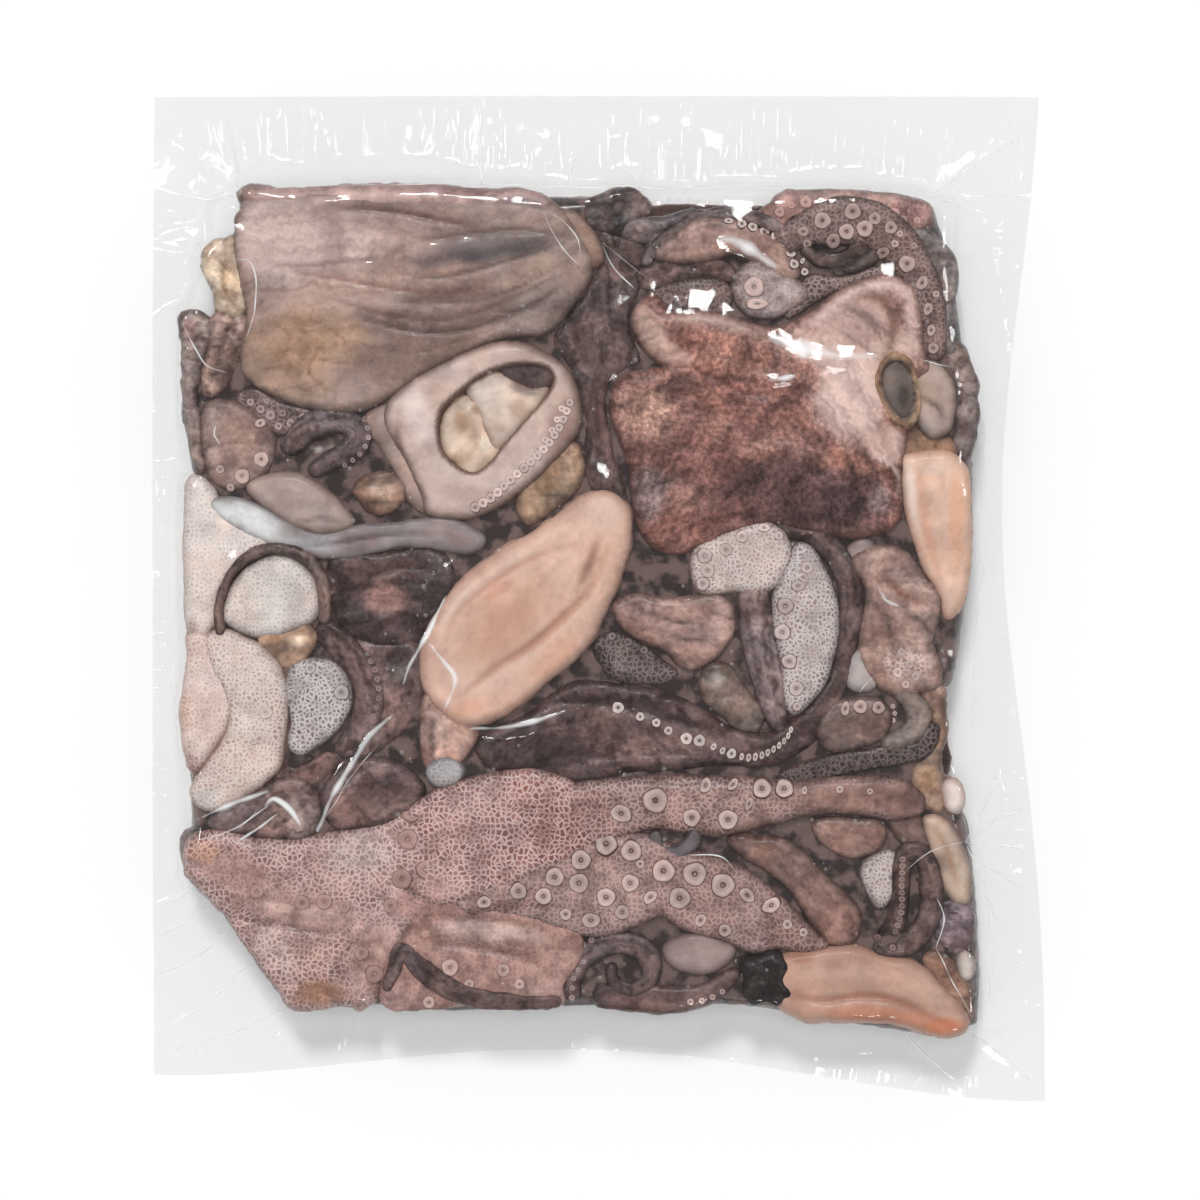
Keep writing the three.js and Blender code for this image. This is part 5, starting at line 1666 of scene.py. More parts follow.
bluntEnd = {
    "outline": [(728, 840), (740, 832), (756, 836), (776, 836), (796, 846), (812, 862), (830, 880),
        (850, 898), (860, 918), (856, 936), (840, 944), (822, 938), (808, 918), (796, 896), (782, 880),
        (762, 866), (744, 856)],
    "edge": 16.6, "paintedLight": 0.76, "top": 21.8, "round": 5.5, "colour": (154, 123, 115), "blotch": 0.2,
    "edgeShadeColour": (82, 64, 60), "spine": [(735, 845), (790, 862), (850, 925)],
    "patches": [((745, 846, 14, 8, 0), (176, 156, 148), 0.7),
        ((810, 890, 18, 34, -40), (166, 134, 124), 0.6), ((790, 854, 22, 10, -20), (150, 122, 114), 0.5)],
}
makeSlab("bluntEnd", bluntEnd, materials["arm"])

crescent = {
    "outline": [(814, 822), (832, 817), (856, 820), (878, 822), (884, 834), (876, 848), (856, 856),
        (836, 850), (820, 838)],
    "edge": 16.4, "paintedLight": 0.78, "top": 20.8, "round": 4, "colour": (166, 138, 131),
    "edgeShadeColour": (80, 62, 60),
}
makeSlab("crescent", crescent, materials["arm"])

dottedSliver = {
    "outline": [(861, 868), (872, 856), (884, 850), (893, 852), (894, 872), (890, 894), (878, 906),
        (868, 892)],
    "edge": 16.8, "paintedLight": 0.76, "top": 21, "round": 3.6, "colour": (190, 174, 173), "net": 0.7,
    "blotch": 0.06,
}
makeSlab("dottedSliver", dottedSliver, materials["pale"])

loopedArm = {
    "route": [(884, 936), (896, 918), (899, 890), (901, 862), (910, 850), (924, 858), (930, 882),
        (930, 908), (920, 930), (902, 944), (880, 946)],
    "widths": [14, 16, 16, 16, 16, 18, 20, 20, 20, 20, 12], "edge": 16.4, "top": 21.4, "round": 2.8,
    "colour": (106, 86, 82), "edgeShadeColour": (48, 38, 38),
    "suckerRows": [{"route": [(901, 858), (900, 884), (900, 908), (894, 930)], "count": 12, "size": (6.5,
        6.5)}, {"route": [(876, 936), (886, 944), (900, 948)], "count": 4, "size": (7, 6)}],
    "suckerRim": (146, 122, 116),
}
makeSlab("loopedArm", loopedArm, materials["dark"])

rightLobe = {
    "outline": [(884, 800), (900, 796), (914, 806), (922, 824), (930, 848), (916, 846), (900, 842),
        (890, 826)],
    "edge": 15.6, "paintedLight": 0.75, "top": 20, "round": 4, "colour": (134, 108, 100), "blotch": 0.3,
}
makeSlab("rightLobe", rightLobe, materials["arm"])

cornerPeach = {
    "outline": [(772, 958), (790, 951), (820, 947), (850, 944), (880, 954), (912, 960), (932, 976),
        (950, 996), (964, 1012), (964, 1028), (944, 1035), (920, 1030), (896, 1022), (850, 1020),
        (806, 1018), (780, 1006), (770, 984)],
    "edge": 15.4, "paintedLight": 0.84, "top": 22.6, "round": 6, "colour": (204, 166, 150), "blotch": 0.06,
    "step": 1.05, "turn": -12, "edgeShadeColour": (190, 142, 122), "rimShade": 0.45,
    "patches": [((840, 968, 50, 14, 0), (206, 172, 158), 0.7),
        ((880, 1014, 70, 12, -6), (202, 140, 112), 0.85), ((940, 1024, 22, 9, 0), (208, 128, 90), 0.8),
        ((930, 990, 22, 14, -40), (204, 172, 156), 0.6), ((800, 956, 12, 5, 0), (178, 116, 96), 0.6)],
    "folds": [dent(1.0, -1.3, [(784, 992), (820, 998), (860, 994), (894, 998), (924, 1012), (950, 1026)],
        (164, 104, 80)), dent(2.2, 0.6, [(800, 978), (850, 974), (900, 982), (936, 1004)], (222, 190, 174),
        0.2), dent(1.2, 0.4, [(800, 1008), (850, 1010), (900, 1012)], (216, 160, 132), 0.2)],
}
makeSlab("cornerPeach", cornerPeach, materials["peach"])

blackTip = {
    "outline": [(740, 966), (746, 955), (757, 957), (766, 949), (779, 952), (787, 964), (783, 978),
        (789, 990), (778, 1003), (764, 999), (752, 1002), (745, 990), (748, 978)],
    "edge": 19.6, "paintedLight": 0.8, "top": 23.5, "round": 6, "colour": (56, 51, 50), "blotch": 0.4, "lumps": 1.3,
    "lumpSize": 5, "ragged": 0.9, "rimShade": 0.3, "edgeShadeColour": (34, 30, 30),
}
makeSlab("blackTip", blackTip, materials["dark"])

print("lower half made")

# Underside: what is pressed flat against the lower film
def makeUnderPiece(name, form, material):
    lower = {
        "edge": 17.4, "top": 24.4, "press": 22.6, "round": 9, "flip": 23.2, "floor": 15.4,
        "facing": "down", "step": 1.8, "suckerShadeColour": (150, 118, 112),
    }
    makeSlab(name, {**lower, **form}, materials[material])


makeUnderPiece("underMantle", {
    "outline": [(264, 222), (330, 208), (470, 212), (545, 258), (560, 340), (520, 412), (420, 446),
        (300, 436), (226, 384), (246, 300)],
    "colour": (172, 148, 142), "folds": [dent(1.2, -1.4, [(240, 300), (360, 330), (500, 300)])],
}, "mantle")
makeUnderPiece("underMottled", {
    "outline": [(606, 222), (760, 206), (900, 226), (950, 320), (955, 430), (905, 500), (760, 512),
        (650, 470), (592, 360)],
    "colour": (146, 104, 96), "folds": [dent(1.2, -1.4, [(640, 300), (760, 340), (900, 320)])],
}, "mottled")
makeUnderPiece("underPale", {
    "outline": [(196, 500), (330, 505), (470, 540), (520, 600), (505, 660), (420, 680), (300, 670),
        (215, 640)],
    "colour": (212, 192, 184), "net": 0.6,
}, "pale")
makeUnderPiece("underSheet", {
    "outline": [(600, 575), (720, 560), (880, 552), (950, 620), (938, 690), (946, 780), (860, 810),
        (720, 800), (610, 750), (580, 660)],
    "colour": (168, 138, 130), "net": 0.5, "folds": [dent(1.2, -1.4, [(620, 640), (760, 660), (900, 640)])],
}, "web")
makeUnderPiece("underWebPiece", {
    "outline": [(206, 740), (330, 745), (450, 770), (520, 830), (515, 930), (420, 985), (310, 985),
        (240, 910), (198, 820)],
    "colour": (184, 150, 144), "net": 0.9,
}, "web")
makeUnderPiece("underPeach", {
    "outline": [(600, 880), (720, 870), (860, 870), (950, 890), (962, 985), (930, 1016), (780, 1002),
        (620, 992), (572, 940)],
    "colour": (214, 174, 156),
}, "peach")
for name, route, widths, colour, material in (
    ("underArmOne", [(215, 462), (340, 468), (450, 480), (540, 540), (560, 640), (548, 730)],
     [40, 58, 60, 56, 50, 34], (176, 144, 138), "arm"),
    ("underArmTwo", [(575, 210), (574, 300), (590, 400), (622, 500), (720, 538), (850, 528), (940, 520)],
     [26, 40, 46, 50, 50, 44, 28], (158, 128, 120), "arm"),
    ("underArmThree", [(200, 700), (320, 708), (430, 722), (540, 770), (600, 822), (720, 838),
                       (850, 836), (945, 830)],
     [36, 50, 54, 52, 52, 54, 46, 28], (182, 150, 144), "web"),
    ("underArmFour", [(545, 985), (540, 920), (560, 870), (590, 845)],
     [30, 40, 40, 24], (128, 104, 102), "dark"),
):
    makeUnderPiece(name, {
        "route": route, "widths": widths, "colour": colour, "round": 6, "net": 0.3,
        "suckerRows": [{"route": route, "count": len(route) * 4, "size": (15, 13)}],
    }, material)
print("underside made")


# The liquid between the pieces, dark as real liquid and as painted shade in the gaps, and the small bubbles
# in it
def makeJuiceAndShade():
    material = bpy.data.materials.new("brownJuiceAndShade")
    material.use_nodes = True
    tree = material.node_tree
    shader = tree.nodes["Principled BSDF"]
    place = addNode(tree, "ShaderNodeTexCoord").outputs["Object"]
    cloud = addNode(tree, "ShaderNodeTexNoise",
        {"Vector": place, "Scale": 170.0, "Detail": 3.0}).outputs["Fac"]
    # These dark browns are the liquid's own colour and painted shade in the gaps between the pieces.
    dark, light = (*linear((50, 39, 38)), 1), (*linear((108, 87, 82)), 1)
    colour = mixColour(tree, rangeNode(tree, cloud, 0.4, 0.62), dark, light)
    tree.links.new(colour, shader.inputs["Base Color"])
    shader.inputs["Roughness"].default_value = 0.22
    return material


# Clear film is see-through and glossy, and a little milky.
def makeClear(name, haze, rough, ripple, pattern, crease=0.0, faded=False):
    material = bpy.data.materials.new(name)
    material.use_nodes = True
    tree = material.node_tree
    tree.nodes.remove(tree.nodes["Principled BSDF"])
    place = addNode(tree, "ShaderNodeTexCoord").outputs["Object"]
    crinkle = addNode(tree, "ShaderNodeTexNoise",
        {"Vector": place, "Scale": pattern, "Detail": 1.0}).outputs["Fac"]
    height = mathNode(tree, "MULTIPLY", crinkle, ripple * 1000)
    if crease:
        lay = addNode(tree, "ShaderNodeAttribute", attribute_name="lay").outputs["Vector"]
        run = addNode(tree, "ShaderNodeVectorMath", {0: lay, 1: (240, 34, 0)},
            operation="MULTIPLY").outputs[0]
        streak = addNode(tree, "ShaderNodeTexNoise",
            {"Vector": run, "Scale": 1.0, "Detail": 2.0}).outputs["Fac"]
        ridge = rangeNode(tree, mathNode(tree, "ABSOLUTE", mathNode(tree, "SUBTRACT", streak, 0.5)), 0.06,
            0.0)
        fade = addNode(tree, "ShaderNodeAttribute", attribute_name="loose").outputs["Fac"]
        ridge = mathNode(tree, "MULTIPLY", ridge, mathNode(tree, "MULTIPLY", fade, crease * 1000))
        height = mathNode(tree, "ADD", height, ridge)
    normal = addNode(tree, "ShaderNodeBump", {"Height": height, "Distance": 0.001}).outputs["Normal"]
    back = addNode(tree, "ShaderNodeNewGeometry").outputs["Backfacing"]
    index = rangeNode(tree, back, 0.0, 1.0, 1.46, 1 / 1.46)  # the same shine from the inside of the thin film
    shine = addNode(tree, "ShaderNodeFresnel", {"IOR": index, "Normal": normal}).outputs[0]
    clear = addNode(tree, "ShaderNodeBsdfTransparent", {"Color": (0.96, 0.96, 0.957, 1)})
    gloss = addNode(tree, "ShaderNodeBsdfAnisotropic",
        {"Color": (0.8, 0.8, 0.8, 1), "Roughness": rough, "Normal": normal})
    milkAndHighlight = addNode(tree, "ShaderNodeBsdfDiffuse", {"Color": (0.9, 0.9, 0.9, 1)})
    glossy = addNode(tree, "ShaderNodeMixShader", {0: shine, 1: clear.outputs[0], 2: gloss.outputs[0]})
    # When faded, the milky white follows a per-point share, which on the pleats is a painted highlight.
    if faded:
        haze = mathNode(tree, "MULTIPLY",
            addNode(tree, "ShaderNodeAttribute", attribute_name="milkAndHighlight").outputs["Fac"], haze)
    mixed = addNode(tree, "ShaderNodeMixShader", {0: haze, 1: glossy.outputs[0], 2: milkAndHighlight.outputs[0]})
    tree.links.new(mixed.outputs[0], tree.nodes["Material Output"].inputs["Surface"])
    return material


def addClear(piece):  # thin film throws no shadow worth tracing
    piece.visible_shadow = False
    piece.visible_diffuse = False
    addToPouch(piece)


materials["juice"] = makeJuiceAndShade()
materials["film"] = makeClear("clearFilm", haze=0.01, rough=0.07, ripple=0.00007, pattern=240.0,
    crease=0.00015)
# The pleats' milky white is a painted highlight where the film glints.
materials["pleat"] = makeClear("highlightPleatFilm", haze=0.95, rough=0.12, ripple=0.0, pattern=100.0, faded=True)
materials["bubble"] = makeClear("bubbleSkin", haze=0.14, rough=0.05, ripple=0.00002, pattern=900.0)

juice = {
    "outline": [(243, 191), (330, 189), (450, 189), (560, 190), (636, 192), (646, 208), (664, 217),
        (720, 218), (776, 214), (788, 193), (860, 190), (928, 194), (946, 226), (960, 280), (974, 399),
        (979, 532), (966, 640), (958, 684), (943, 696), (937, 720), (940, 762), (950, 790), (968, 808),
        (979, 866), (985, 1000), (964, 1034), (833, 1025), (700, 1008), (467, 1008), (298, 1008),
        (252, 966), (199, 886), (185, 816), (188, 666), (191, 499), (184, 336), (206, 320), (210, 262),
        (236, 244)],
    "edge": 9, "top": 18.6, "round": 9, "floor": 1.4, "colour": (70, 54, 50), "step": 1.6, "lumps": 0.6,
    "lumpSize": 6, "ragged": 0, "spread": -1.4, "lift": 0,
}
makeSlab("juice", juice, materials["juice"])
print("juice made")


# Film
film = {
    "fine": 0.9, "coarse": 1.8, "underStep": 2.4,
    "fineAcross": (0.028, 0.918), "fineAlong": (0.055, 0.912),  # shares of the pouch with the finer steps
    "near": 4, "clear": 0.12, "over": 0.4, "blurs": 5, "ownShare": 0.4, "nextShare": 0.15,
    "ripples": (0.2, 0.15, 0.05), "ramp": 24, "sealWidth": 0.7,
    "gap": 0.35, "inside": 0.22, "wall": 2.2, "passes": 34,
    "block": [(240, 186), (600, 184), (930, 189), (963, 266), (980, 399), (983, 532), (970, 699),
        (983, 866), (990, 1006), (967, 1039), (833, 1029), (700, 1012), (467, 1012), (293, 1012),
        (247, 969), (193, 889), (180, 816), (183, 666), (187, 499), (177, 332), (203, 252)],
    # route, width and height in millimetres of each broad fold that stands up from the film
    "folds": [
        ([(772, 352), (812, 364), (864, 368)], 4.0, 2.1), ([(706, 250), (742, 262), (782, 276)], 2.6, 1.4),
        ([(764, 384), (780, 382), (797, 378)], 1.6, 0.88),
        ([(318, 828), (350, 768), (371, 736), (392, 716)], 1.6, 0.9),
        ([(428, 640), (447, 664), (458, 690), (446, 712)], 1.8, 1.0),
        ([(480, 726), (520, 724), (565, 713)], 2.0, 1.1), ([(262, 796), (280, 806), (300, 826)], 1.3, 0.75),
        ([(362, 268), (369, 267), (377, 268)], 0.8, 0.45),
        ([(860, 592), (872, 600), (886, 604)], 1.0, 0.56), ([(196, 318), (206, 332), (214, 350)], 0.9, 0.5),
        ([(560, 664), (572, 656), (582, 644)], 0.8, 0.45),
        ([(850, 690), (864, 688), (880, 680)], 0.8, 0.45), ([(520, 206), (560, 210), (584, 218)], 0.9, 0.5),
        ([(300, 205), (350, 205), (410, 206)], 0.8, 0.44), ([(480, 92), (478, 140), (481, 187)], 1.2, 0.8),
        ([(1012, 112), (1026, 146), (1018, 178)], 1.2, 0.7),
        ([(200, 880), (176, 900), (150, 912)], 1.6, 1.0), ([(230, 930), (190, 960), (150, 984)], 1.8, 1.0),
        ([(288, 1008), (230, 1036), (160, 1060)], 2.0, 1.1),
        ([(246, 968), (200, 1010), (156, 1040)], 1.6, 0.9),
        ([(244, 192), (205, 160), (160, 130)], 1.6, 0.9), ([(236, 200), (196, 196), (152, 184)], 1.4, 0.8),
        ([(206, 262), (180, 250), (152, 246)], 1.4, 0.8), ([(932, 196), (972, 160), (1026, 132)], 1.6, 0.9),
        ([(940, 214), (984, 196), (1032, 190)], 1.5, 0.8),
        ([(972, 1034), (1010, 1060), (1046, 1094)], 1.6, 0.9),
        ([(900, 1030), (930, 1060), (966, 1092)], 1.4, 0.7),
        ([(560, 1006), (548, 1030), (552, 1050)], 1.4, 0.6),
        ([(360, 1004), (340, 1034), (334, 1062)], 1.4, 0.7),
        ([(1000, 200), (990, 320), (996, 470)], 1.2, 0.62),
        ([(1008, 330), (1011, 460), (1004, 610)], 0.9, 0.46),
        ([(990, 520), (984, 650), (992, 790)], 1.2, 0.62),
        ([(1018, 640), (1010, 760), (1020, 880)], 0.9, 0.46),
        ([(168, 380), (164, 520), (170, 700)], 1.2, 0.62),
        ([(330, 1040), (520, 1046), (760, 1062), (960, 1082)], 2.6, 0.7),
    ],
    # route and half width of each pleat, a milky white ribbon that is a painted highlight
    "pleats": [
        ([(238, 263), (252, 264), (259, 282), (257, 312), (248, 342)], 0.3),
        ([(183, 324), (196, 348), (208, 366), (228, 374)], 0.3),
        ([(218, 426), (216, 436), (222, 446)], 0.4),
        ([(543, 212), (552, 232), (566, 254), (580, 268)], 0.26),
        ([(543, 212), (560, 222), (577, 240), (582, 266)], 0.22),
        ([(602, 245), (614, 270), (636, 292)], 0.26), ([(602, 245), (624, 262), (646, 279)], 0.22),
        ([(318, 830), (334, 796), (351, 766), (371, 736), (394, 714)], 1.1),
        ([(326, 818), (350, 780), (380, 742)], 0.24),
        ([(404, 684), (412, 662), (428, 636), (447, 596)], 0.8),
        ([(430, 642), (447, 662), (457, 680), (446, 708)], 1.0),
        ([(470, 728), (500, 727), (530, 722), (566, 710)], 0.9),
        ([(716, 240), (734, 244), (756, 256), (774, 270)], 2.0),
        ([(768, 338), (796, 349), (832, 357), (876, 358)], 2.7),
        ([(766, 382), (780, 380), (794, 378)], 1.1), ([(204, 816), (236, 802), (270, 790)], 0.9),
        ([(266, 806), (276, 797), (290, 806), (302, 826)], 0.8),
        ([(240, 840), (262, 826), (280, 812)], 0.5), ([(876, 584), (884, 600), (898, 606)], 0.9),
        ([(858, 692), (866, 682), (876, 673)], 0.24),
        ([(690, 853), (710, 853), (724, 857), (733, 868)], 0.26),
        ([(934, 896), (942, 918), (934, 946)], 0.28), ([(934, 946), (950, 978), (972, 1018)], 0.28),
        ([(920, 362), (936, 366), (952, 368)], 0.24), ([(197, 840), (236, 828), (274, 802)], 0.26),
        ([(222, 832), (244, 824), (262, 806)], 0.18), ([(964, 842), (992, 824), (1026, 812)], 0.45),
        ([(964, 842), (1000, 846), (1038, 852)], 0.4), ([(964, 842), (990, 866), (1030, 892)], 0.45),
        ([(964, 842), (984, 884), (996, 920)], 0.4), ([(964, 842), (986, 806), (1000, 778)], 0.4),
        ([(962, 840), (930, 850), (905, 868)], 0.22), ([(198, 884), (176, 900), (151, 910)], 0.26),
        ([(206, 898), (180, 926), (152, 940)], 0.24), ([(230, 930), (196, 956), (154, 980)], 0.26),
        ([(246, 968), (206, 1004), (160, 1036)], 0.26), ([(288, 1008), (236, 1034), (170, 1056)], 0.28),
        ([(244, 192), (210, 164), (166, 134)], 0.26), ([(238, 198), (200, 196), (156, 184)], 0.22),
        ([(206, 262), (184, 250), (155, 246)], 0.22), ([(932, 194), (966, 168), (1020, 136)], 0.26),
        ([(936, 206), (960, 196), (1000, 192), (1034, 192)], 0.22),
        ([(930, 200), (944, 184), (950, 168)], 0.2), ([(972, 1034), (1004, 1058), (1040, 1090)], 0.26),
        ([(900, 1030), (928, 1058), (962, 1090)], 0.22), ([(480, 94), (479, 140), (481, 186)], 0.22),
        ([(566, 186), (572, 160), (584, 138)], 0.2), ([(640, 186), (634, 172), (620, 162)], 0.18),
        ([(1014, 112), (1027, 146), (1018, 180)], 0.24), ([(186, 470), (176, 500), (180, 540)], 0.2),
        ([(182, 620), (170, 660), (176, 720)], 0.2),
        ([(268, 190), (400, 186), (600, 186), (800, 188), (926, 190)], 0.2),
        ([(984, 420), (988, 520), (976, 640), (974, 730)], 0.2),
        ([(986, 880), (992, 950), (990, 1004)], 0.22),
    ],
    # corners of where the film is stretched flat
    "bridges": [((764, 336), (872, 372)), ((704, 232), (786, 280))],
    "pleat": {"step": 0.8, "lift": 0.06, "height": 0.34},
    "seals": [(134, 0.07), (150, 0.09), (165, 0.06)],  # rows of the seal and their heights
}


def pouchPlaces(across, along):  # the pouch's plan: a bowed lower edge and a waist on the right
    arch = pouch["arch"] * np.maximum(0, np.sin(np.pi * np.minimum(1, across * 1.02))) ** 1.6
    lowest = arch + pouch["cornerRise"] * (1 - across) ** 2 - pouch["length"] / 2
    y = lowest + (pouch["length"] / 2 - lowest) * along
    waist = pouch["waist"] * np.exp(-((y - pouch["waistAt"]) / pouch["waistSpread"]) ** 2)
    return (pouch["width"] - waist) * across - pouch["width"] / 2, y


def sharesOf(length, low, high, fine, coarse):  # shares of a length, close together between low and high
    parts = [
        np.linspace(start, end, max(2, int(round((end - start) * length / size)) + 1))[:-1]
        for start, end, size in ((0, low, coarse), (low, high, fine), (high, 1, coarse))
    ]
    return np.append(np.concatenate(parts), 1.0)


def gridFaces(rows, columns):
    corner = np.arange(rows * columns).reshape(rows, columns)
    quads = np.stack([corner[:-1, :-1], corner[:-1, 1:], corner[1:, 1:], corner[1:, :-1]], axis=-1)
    return quads.reshape(-1, 4).tolist()


def borderHeight(places, depth):
    corners = np.abs(places[:, 0] / (pouch["width"] / 2) * places[:, 1] / (pouch["length"] / 2)) ** 3
    away = np.clip(-depth / film["ramp"], 0, 1)
    return pouch["seam"] + (pouch["rim"] - pouch["seam"]) * away - pouch["cornerDrop"] * corners


def blockDepth(places):  # how far inside the block of contents, and how far round its outline
    loop = smoothRoute(toPlane(film["block"]), 3.0, closed=True)
    near = nearOn(places, loop, closed=True)
    return near[:, 0] * np.where(insideLoop(places, loop), 1, -1), near[:, 1]


def borderWrinkles(places, depth, round_):  # short creases that run out from the block
    across = np.stack([round_, -depth * 0.16], axis=1)
    crease = 1 - np.abs(softNoise(across, 5.2, 301))
    finer = 1 - np.abs(softNoise(across, 2.6, 302))
    strength = 0.35 + 0.65 * smoothStep(-0.2, 0.5, softNoise(across, 34, 303))
    fade = np.exp(-np.maximum(-depth, 0) / 15) * smoothStep(-1, 3, -depth)
    return (1.5 * crease ** 5 + 0.5 * finer ** 5) * strength * fade + 0.35 * softNoise(places, 21, 304)


def addFolds(places, heights):
    for route, width, height in film["folds"]:
        spots = toPlane(route)
        low, high = spots.min(axis=0) - 4 * width, spots.max(axis=0) + 4 * width
        near = np.nonzero(((places > low) & (places < high)).all(axis=1))[0]
        if len(near):
            line = smoothRoute(spots, 1.5)
            off, along, _ = nearOn(places[near], line, closed=False).T
            total = np.linalg.norm(np.diff(line, axis=0), axis=1).sum()
            ends = np.sin(np.pi * np.clip(along / total, 0.03, 0.97)) ** 0.4
            heights[near] += height * np.clip(1 - off / (1.6 * width), 0, 1) * ends
    return heights


across = sharesOf(pouch["width"], *film["fineAcross"], film["fine"], film["coarse"])
along = sharesOf(pouch["length"], *film["fineAlong"], film["fine"], film["coarse"])
gridX, gridY = pouchPlaces(*np.meshgrid(across, along))
rows, columns = gridX.shape
filmPlaces = np.column_stack([gridX.ravel(), gridY.ravel()])
depth, reached = blockDepth(filmPlaces)

upPoints, upFaces = [], []
for slab in slabs:
    if slab["facing"] == "up":
        start = sum(len(points) for points in upPoints)
        upPoints.append(slab["points"])
        upFaces += [[int(corner) + start for corner in face] for face in slab["faces"]]
contentTree = BVHTree.FromPolygons(np.concatenate(upPoints).tolist(), upFaces)
down = Vector((0, 0, -1))
contents = np.zeros(len(filmPlaces))
for index in np.nonzero(depth > -film["near"])[0]:
    spot = contentTree.ray_cast(Vector((*filmPlaces[index], skyHigh)), down)[0]
    if spot is not None:
        contents[index] = spot[2]

tent = (contents + film["gap"] * (contents > 0)).reshape(rows, columns)
limit = np.where(depth > film["near"], film["inside"], film["wall"]).reshape(rows, columns) * film["fine"]
directions = [(1, 0), (-1, 0), (0, 1), (0, -1), (1, 1), (1, -1), (-1, 1), (-1, -1)]
for _ in range(film["passes"]):
    for shift in directions:
        tent = np.maximum(tent, np.roll(tent, shift, axis=(0, 1)) - limit * math.hypot(*shift))
lowest = contents.reshape(rows, columns) + film["clear"]
for _ in range(film["blurs"]):
    blurred = sum(np.roll(tent, shift, axis=(0, 1)) for shift in directions[:4])
    tent = np.maximum(film["ownShare"] * tent + film["nextShare"] * blurred, lowest)
border = borderHeight(filmPlaces, depth)
topHeights = np.maximum(tent.ravel(), border + film["over"])
lowShare = 1 - smoothStep(border + 2, border + 5, topHeights)
topHeights += borderWrinkles(filmPlaces, depth, reached) * lowShare
for corners in film["bridges"]:
    (left, high), (right, low) = toPlane(corners)
    middle = np.array([(left + right) / 2, (low + high) / 2])
    half = np.array([(right - left) / 2, (high - low) / 2])
    reach = np.hypot(*((filmPlaces - middle) / half).T)
    level = np.percentile(topHeights[reach < 0.9], 85)
    share = 1 - smoothStep(0.75, 1.25, reach)
    topHeights = np.maximum(topHeights, topHeights * (1 - share) + level * share)
even, wide, narrow = film["ripples"]
ripples = even + wide * roughNoise(filmPlaces, 6, 305, 2) + narrow * roughNoise(filmPlaces, 2.6, 306, 2)
topHeights += ripples * smoothStep(0, film["near"], depth)
topHeights = addFolds(filmPlaces, topHeights)
for row, height in film["seals"]:
    level = toPlane([(600, row)])[0, 1]
    topHeights += height * np.exp(-((filmPlaces[:, 1] - level) / film["sealWidth"]) ** 2)
layout = {
    "lay": np.column_stack([reached, depth, 0 * depth]) * metre,
    "loose": np.exp(-np.maximum(-depth, 0) / 20) * smoothStep(-1, 2, -depth),
}
topPoints, topFaces = np.column_stack([filmPlaces, topHeights]), gridFaces(rows, columns)
addClear(makeMesh("topFilm", topPoints, topFaces, materials["film"], layout))

underAcross = sharesOf(pouch["width"], *film["fineAcross"], film["underStep"], film["coarse"])
underAlong = sharesOf(pouch["length"], *film["fineAlong"], film["underStep"], film["coarse"])
underX, underY = pouchPlaces(*np.meshgrid(underAcross, underAlong))
underPlaces = np.column_stack([underX.ravel(), underY.ravel()])
underDepth, _ = blockDepth(underPlaces)
rise = (1 - np.clip((underDepth + 1) / 11, 0, 1)) ** 2
underHeights = 0.2 + np.maximum(borderHeight(underPlaces, underDepth) - 0.5, 0.6) * rise
underMesh = [face[::-1] for face in gridFaces(*underX.shape)]
underPoints = np.column_stack([underPlaces, underHeights])
addClear(makeMesh("underFilm", underPoints, underMesh, materials["film"]))


def makePleats():  # ridges of doubled film, milky white: painted highlights as fine lines and patches
    tree = BVHTree.FromPolygons(topPoints.tolist(), topFaces)
    profile = [(-1.0, 0.0), (-0.5, 0.6), (0.0, 1.0), (0.5, 0.6), (1.0, 0.0)]
    pleat = film["pleat"]
    points, faces, milkAndHighlight = [], [], []
    for index, (route, half) in enumerate(film["pleats"]):
        line = smoothRoute(toPlane(route), pleat["step"])
        line += 0.25 * np.column_stack([softNoise(line, 6, 411 + index), softNoise(line, 6, 511 + index)])
        run = np.gradient(line, axis=0)
        run /= np.linalg.norm(run, axis=1)[:, None]
        taper = np.sin(np.pi * np.linspace(0.04, 0.96, len(line))) ** 0.6
        taper *= 0.75 + 0.4 * softNoise(line, 4, 611 + index)
        first = len(points)
        wide = 1.3 if blockDepth(line[len(line) // 2][None, :])[0][0] > 0 else 2.0
        for place, way, share in zip(line, run, taper):
            for offset, rise in profile:
                spot = place + np.array([-way[1], way[0]]) * offset * half * share * wide
                hit = tree.ray_cast(Vector((*spot, skyHigh)), down)[0]
                level = hit[2] if hit is not None else borderHeight(spot[None, :], np.array([-30.0]))[0]
                points.append((*spot, level + pleat["lift"] + pleat["height"] * rise * share))
                milkAndHighlight.append(rise * share)
        across = len(profile)
        for step in range(len(line) - 1):
            for side in range(across - 1):
                a = first + step * across + side
                faces.append((a, a + across, a + across + 1, a + 1))
    addClear(makeMesh("highlightPleats", points, faces, materials["pleat"], {"milkAndHighlight": np.clip(milkAndHighlight, 0, 1)}))


makePleats()
print("film made")


